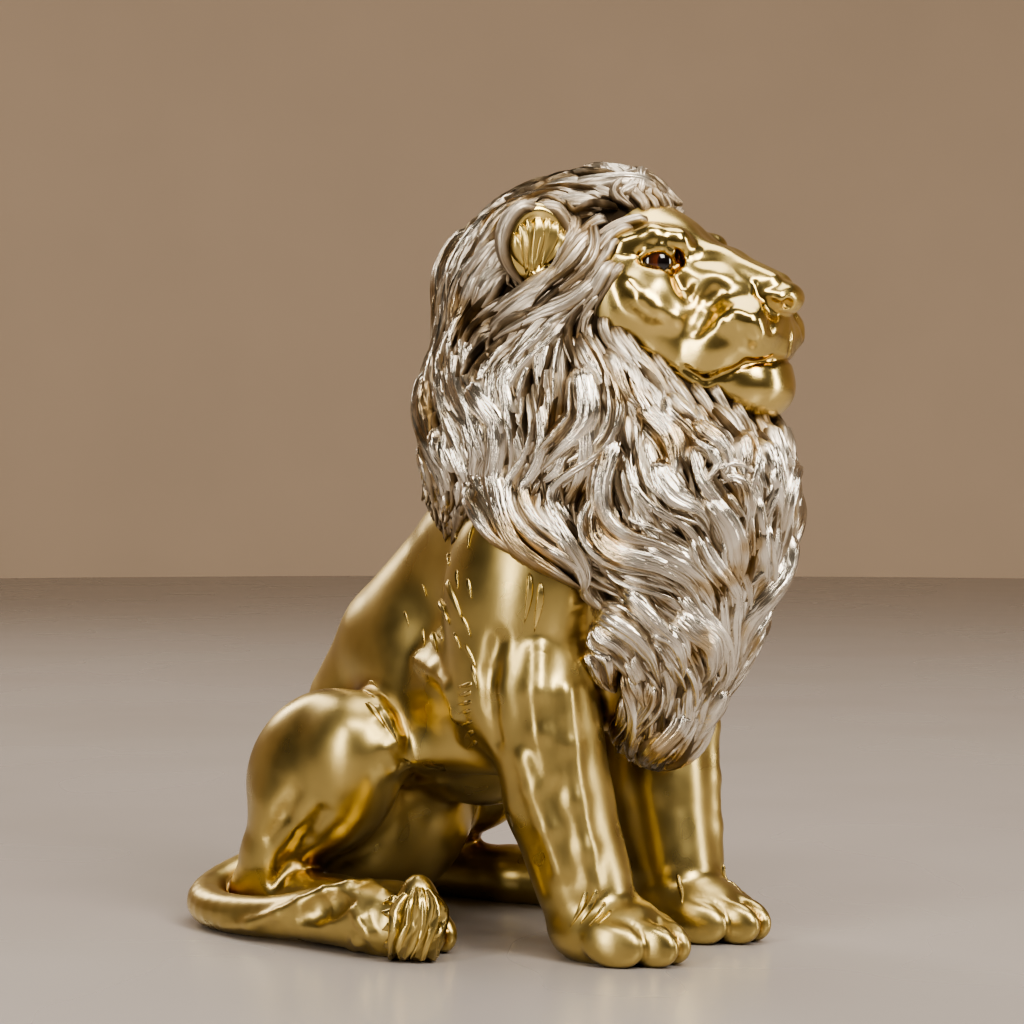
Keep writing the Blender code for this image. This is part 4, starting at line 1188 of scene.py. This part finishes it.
def silver_and_gold(name, polish, shade):
    """A cast skin's own finish: gold plate where its gold attribute is 1, near black under the mane as
    painted shade.
    """
    nodes = Nodes(name)
    share = nodes.add("Attribute", attribute_name="gold").outputs["Fac"]
    colour, rough, normal = gold_plate(nodes, polish, shade)
    # Under the mane the skin is near black and rough: painted shade where it shows between the locks.
    mixed = nodes.add("Mix", {"Factor": share, "A": (0.04, 0.027, 0.016, 1), "B": colour}, data_type="RGBA")
    rougher = nodes.add("Mix", {"Factor": share, "A": 0.75, "B": rough}, data_type="FLOAT")
    nodes.shader.inputs["Metallic"].default_value = 1.0
    return nodes.finish(nodes.result(mixed), nodes.result(rougher), normal)


def eye_enamel():
    """Amber enamel under a clear coat, with a dark pupil and rim."""
    nodes = Nodes("eye_enamel")
    gaze = nodes.add("Attribute", attribute_name="gaze").outputs["Fac"]
    colour = nodes.ramp(
        gaze, (0.0, (0.003, 0.001, 0.001)), (0.42, (0.005, 0.002, 0.002)), (0.50, (0.09, 0.022, 0.008)),
        (0.75, (0.045, 0.012, 0.005)), (0.9, (0.01, 0.004, 0.002)),
    )
    speck = nodes.add("TexNoise", {"Scale": 3000.0}).outputs["Fac"]
    rough = nodes.ramp(speck, (0.3, 0.08), (0.7, 0.14))
    bump = nodes.add("Bump", {"Height": speck, "Strength": 0.02, "Distance": 0.0001})
    nodes.shader.inputs["Coat Weight"].default_value = 1.0
    nodes.shader.inputs["Coat Roughness"].default_value = 0.03
    return nodes.finish(colour, rough, bump.outputs["Normal"])


def skin_piece(name, form, voxel, material, golden):
    """One cast skin, flat where it meets the ground. Its gold attribute is 1 on the golden groups
    and 0 under the mane."""
    skin, points = cast_skin(form, voxel)
    away, _ = form.normals(points)
    # The open attribute sets how much painted crease shade the gold takes.
    set_attribute(skin, "open", openness(form, points, away))
    # The gold attribute is 0 under the mane, where the skin takes a near black painted shade.
    set_attribute(skin, "gold", np.clip(1.5 - nearest_of(golden, points) / GOLD_EDGE, 0, 1))
    grounded(skin)
    piece(name, skin, material)


def eye(side, material):
    """An eyeball that looks forwards and a little outwards, with its gaze as an attribute."""
    mesh = shape_mesh("eye", bmesh.ops.create_uvsphere, u_segments=40, v_segments=28, radius=EYE_RADIUS)
    ahead = Vector(GAZE)
    ahead.x *= side
    ahead.normalize()
    points = mesh_points(mesh)
    set_attribute(mesh, "gaze", np.linalg.norm(points / EYE_RADIUS - np.array(ahead), axis=1))
    middle = Vector(EYE_MIDDLE)
    middle.x *= -side
    mesh.transform(head_place() @ Matrix.Translation(middle))
    piece("eye_left" if side > 0 else "eye_right", mesh, material)


def lion():
    gold = gilding()
    silver = silvering()
    masses = (
        torso()
        + front_leg(STEP)
        + [mass.mirrored() for mass in front_leg(-STEP)]
        + both_sides(*hind_leg())
        + tail()
    )
    ridges, folds = carving(masses)
    body = Group(masses + ridges, folds)
    face_masses, face_cuts = head()
    ear_masses, ear_cuts = ears()
    hair_bed = Group(mane())
    face = Group(face_masses, face_cuts, head_place())
    lids = Group(eyelids(), (), head_place())
    ear = Group(ear_masses, ear_cuts, head_place())
    ear_hollow = Group([], ear_cuts, head_place())
    figure = Form(body, hair_bed, face, ear)

    skull_under_hair = Group(mane(shrink=0.25)[1:3])
    head_form = Form(skull_under_hair, face, lids, ear)
    polished = silver_and_gold("face_gilding", 0.17, 1.0)
    skin_piece("lion_head", head_form, FACE_VOXEL, polished, golden=[face, ear, lids])
    body_form = Form(body, hair_bed, ear_hollow)
    # The body's gold is darkened to 0.75 as painted shade; the face's keeps its full colour.
    satin = silver_and_gold("body_gilding", 0.27, 0.75)
    skin_piece("lion_body", body_form, BODY_VOXEL, satin, golden=[body])
    for name, mesh in mane_locks(figure, [face, ear]).items():
        near = nearest_of((face, ear), mesh_points(mesh))
        set_attribute(mesh, "matt", np.clip(1 - near / MATT_REACH, 0, 1))
        piece(name, mesh, silver)
    fur = {"gold_fur": gold_fur(figure, Form(body), Form(face, ear)), **tuft_locks()}
    for name, mesh in fur.items():
        grounded(mesh)
        # The fur takes one openness all over, at full gold, so it gets no painted crease shade.
        set_attribute(mesh, "open", np.full(len(mesh.vertices), FUR_OPENNESS))
        piece(name, mesh, gold)
    enamel = eye_enamel()
    for side in (-1, 1):
        eye(side, enamel)


def metres(units):
    """A place in the figure's units as one in the frame."""
    return (Vector(units) + Vector(ORIGIN_SHIFT)) * UNIT


def plain_material(name, colour, roughness):
    nodes = Nodes(name)
    place = nodes.add("TexCoord").outputs["Object"]
    cloud = nodes.add("TexNoise", {"Vector": place, "Scale": 6.0, "Detail": 2.0}).outputs["Fac"]
    tint = nodes.ramp(cloud, (0.3, tuple(0.96 * c for c in colour)), (0.7, colour))
    rough = nodes.ramp(cloud, (0.3, roughness), (0.7, roughness + 0.05))
    bump = nodes.add("Bump", {"Height": cloud, "Strength": 0.02, "Distance": 0.001})
    return nodes.finish(tint, rough, bump.outputs["Normal"])


# The floor's half-width, and how far behind the lion the wall stands, in metres.
FLOOR_REACH = 4.0
WALL_AWAY = 2.6


def studio():
    """A pale floor, and a warm wall curved round behind the lion."""
    mesh = shape_mesh("floor", bmesh.ops.create_grid, x_segments=1, y_segments=1, size=FLOOR_REACH)
    mesh.materials.append(plain_material("floor_paint", (0.36, 0.33, 0.31), 0.24))
    floor = new_object("floor", mesh)

    bm = bmesh.new()
    bmesh.ops.create_cone(bm, segments=64, radius1=WALL_AWAY, radius2=WALL_AWAY, depth=5.0)
    behind = Vector((*AHEAD, 0))
    bmesh.ops.delete(bm, geom=[f for f in bm.faces if f.normal.dot(behind) < 0.15], context="FACES")
    bmesh.ops.reverse_faces(bm, faces=bm.faces[:])
    mesh = bpy.data.meshes.new("wall")
    bm.to_mesh(mesh)
    bm.free()
    mesh.shade_smooth()
    mesh.materials.append(plain_material("wall_paint", (0.66, 0.51, 0.37), 0.8))
    wall = new_object("wall", mesh)

    world = bpy.data.worlds.new("studio")
    world.use_nodes = True
    world.node_tree.nodes["Background"].inputs["Color"].default_value = (0.24, 0.20, 0.16, 1)
    world.node_tree.nodes["Background"].inputs["Strength"].default_value = 0.35
    bpy.context.scene.world = world


# What the lights point at, in metres, and their colour.
LION_CHEST = (0, 0, 0.13)
WARM_WHITE = (1.0, 0.95, 0.88)


def softbox(name, azimuth, elevation, distance, size, power):
    """A rectangular soft light that faces the lion. Azimuth 0 is the camera's own side, and it
    grows towards the right of the picture."""
    look = math.atan2(-AHEAD[1], -AHEAD[0]) + math.radians(azimuth)
    lift = math.radians(elevation)
    out = Vector((math.cos(look) * math.cos(lift), math.sin(look) * math.cos(lift), math.sin(lift)))
    data = bpy.data.lights.new(name, "AREA")
    data.shape = "RECTANGLE"
    data.size, data.size_y = size
    data.energy = power
    data.color = WARM_WHITE
    lamp = new_object(name, data)
    lamp.location = Vector(LION_CHEST) + out * distance
    lamp.rotation_mode = "QUATERNION"
    lamp.rotation_quaternion = (-out).to_track_quat("-Z", "Y")


def camera():
    """The photograph's own viewing angle, at the height of the lion's chest."""
    data = bpy.data.cameras.new("camera")
    data.lens = LENS
    data.sensor_width = SENSOR_WIDTH
    data.clip_start = 0.01
    obj = new_object("camera", data)
    obj.location = metres(VIEWPOINT)
    obj.rotation_mode = "QUATERNION"
    obj.rotation_quaternion = view_direction().to_track_quat("-Z", "Y")
    bpy.context.scene.camera = obj
    bpy.context.scene.view_settings.view_transform = "AgX"
    bpy.context.scene.view_settings.look = "AgX - Medium High Contrast"


def lights():
    """Each softbox has its azimuth and elevation in degrees, its distance and size in metres, and
    its power in watts."""
    softbox("key", 40, 40, 1.5, (0.5, 0.9), 23)
    softbox("strip", -42, 18, 1.5, (0.20, 1.2), 12)
    softbox("window", -6, 58, 1.5, (0.8, 0.22), 9)
    softbox("edge", 82, 8, 1.5, (0.16, 1.0), 7)
    softbox("top", 150, 72, 1.5, (1.1, 0.9), 14)
    softbox("rim", -140, 30, 1.6, (0.35, 0.9), 8)


lion()
studio()
lights()
camera()
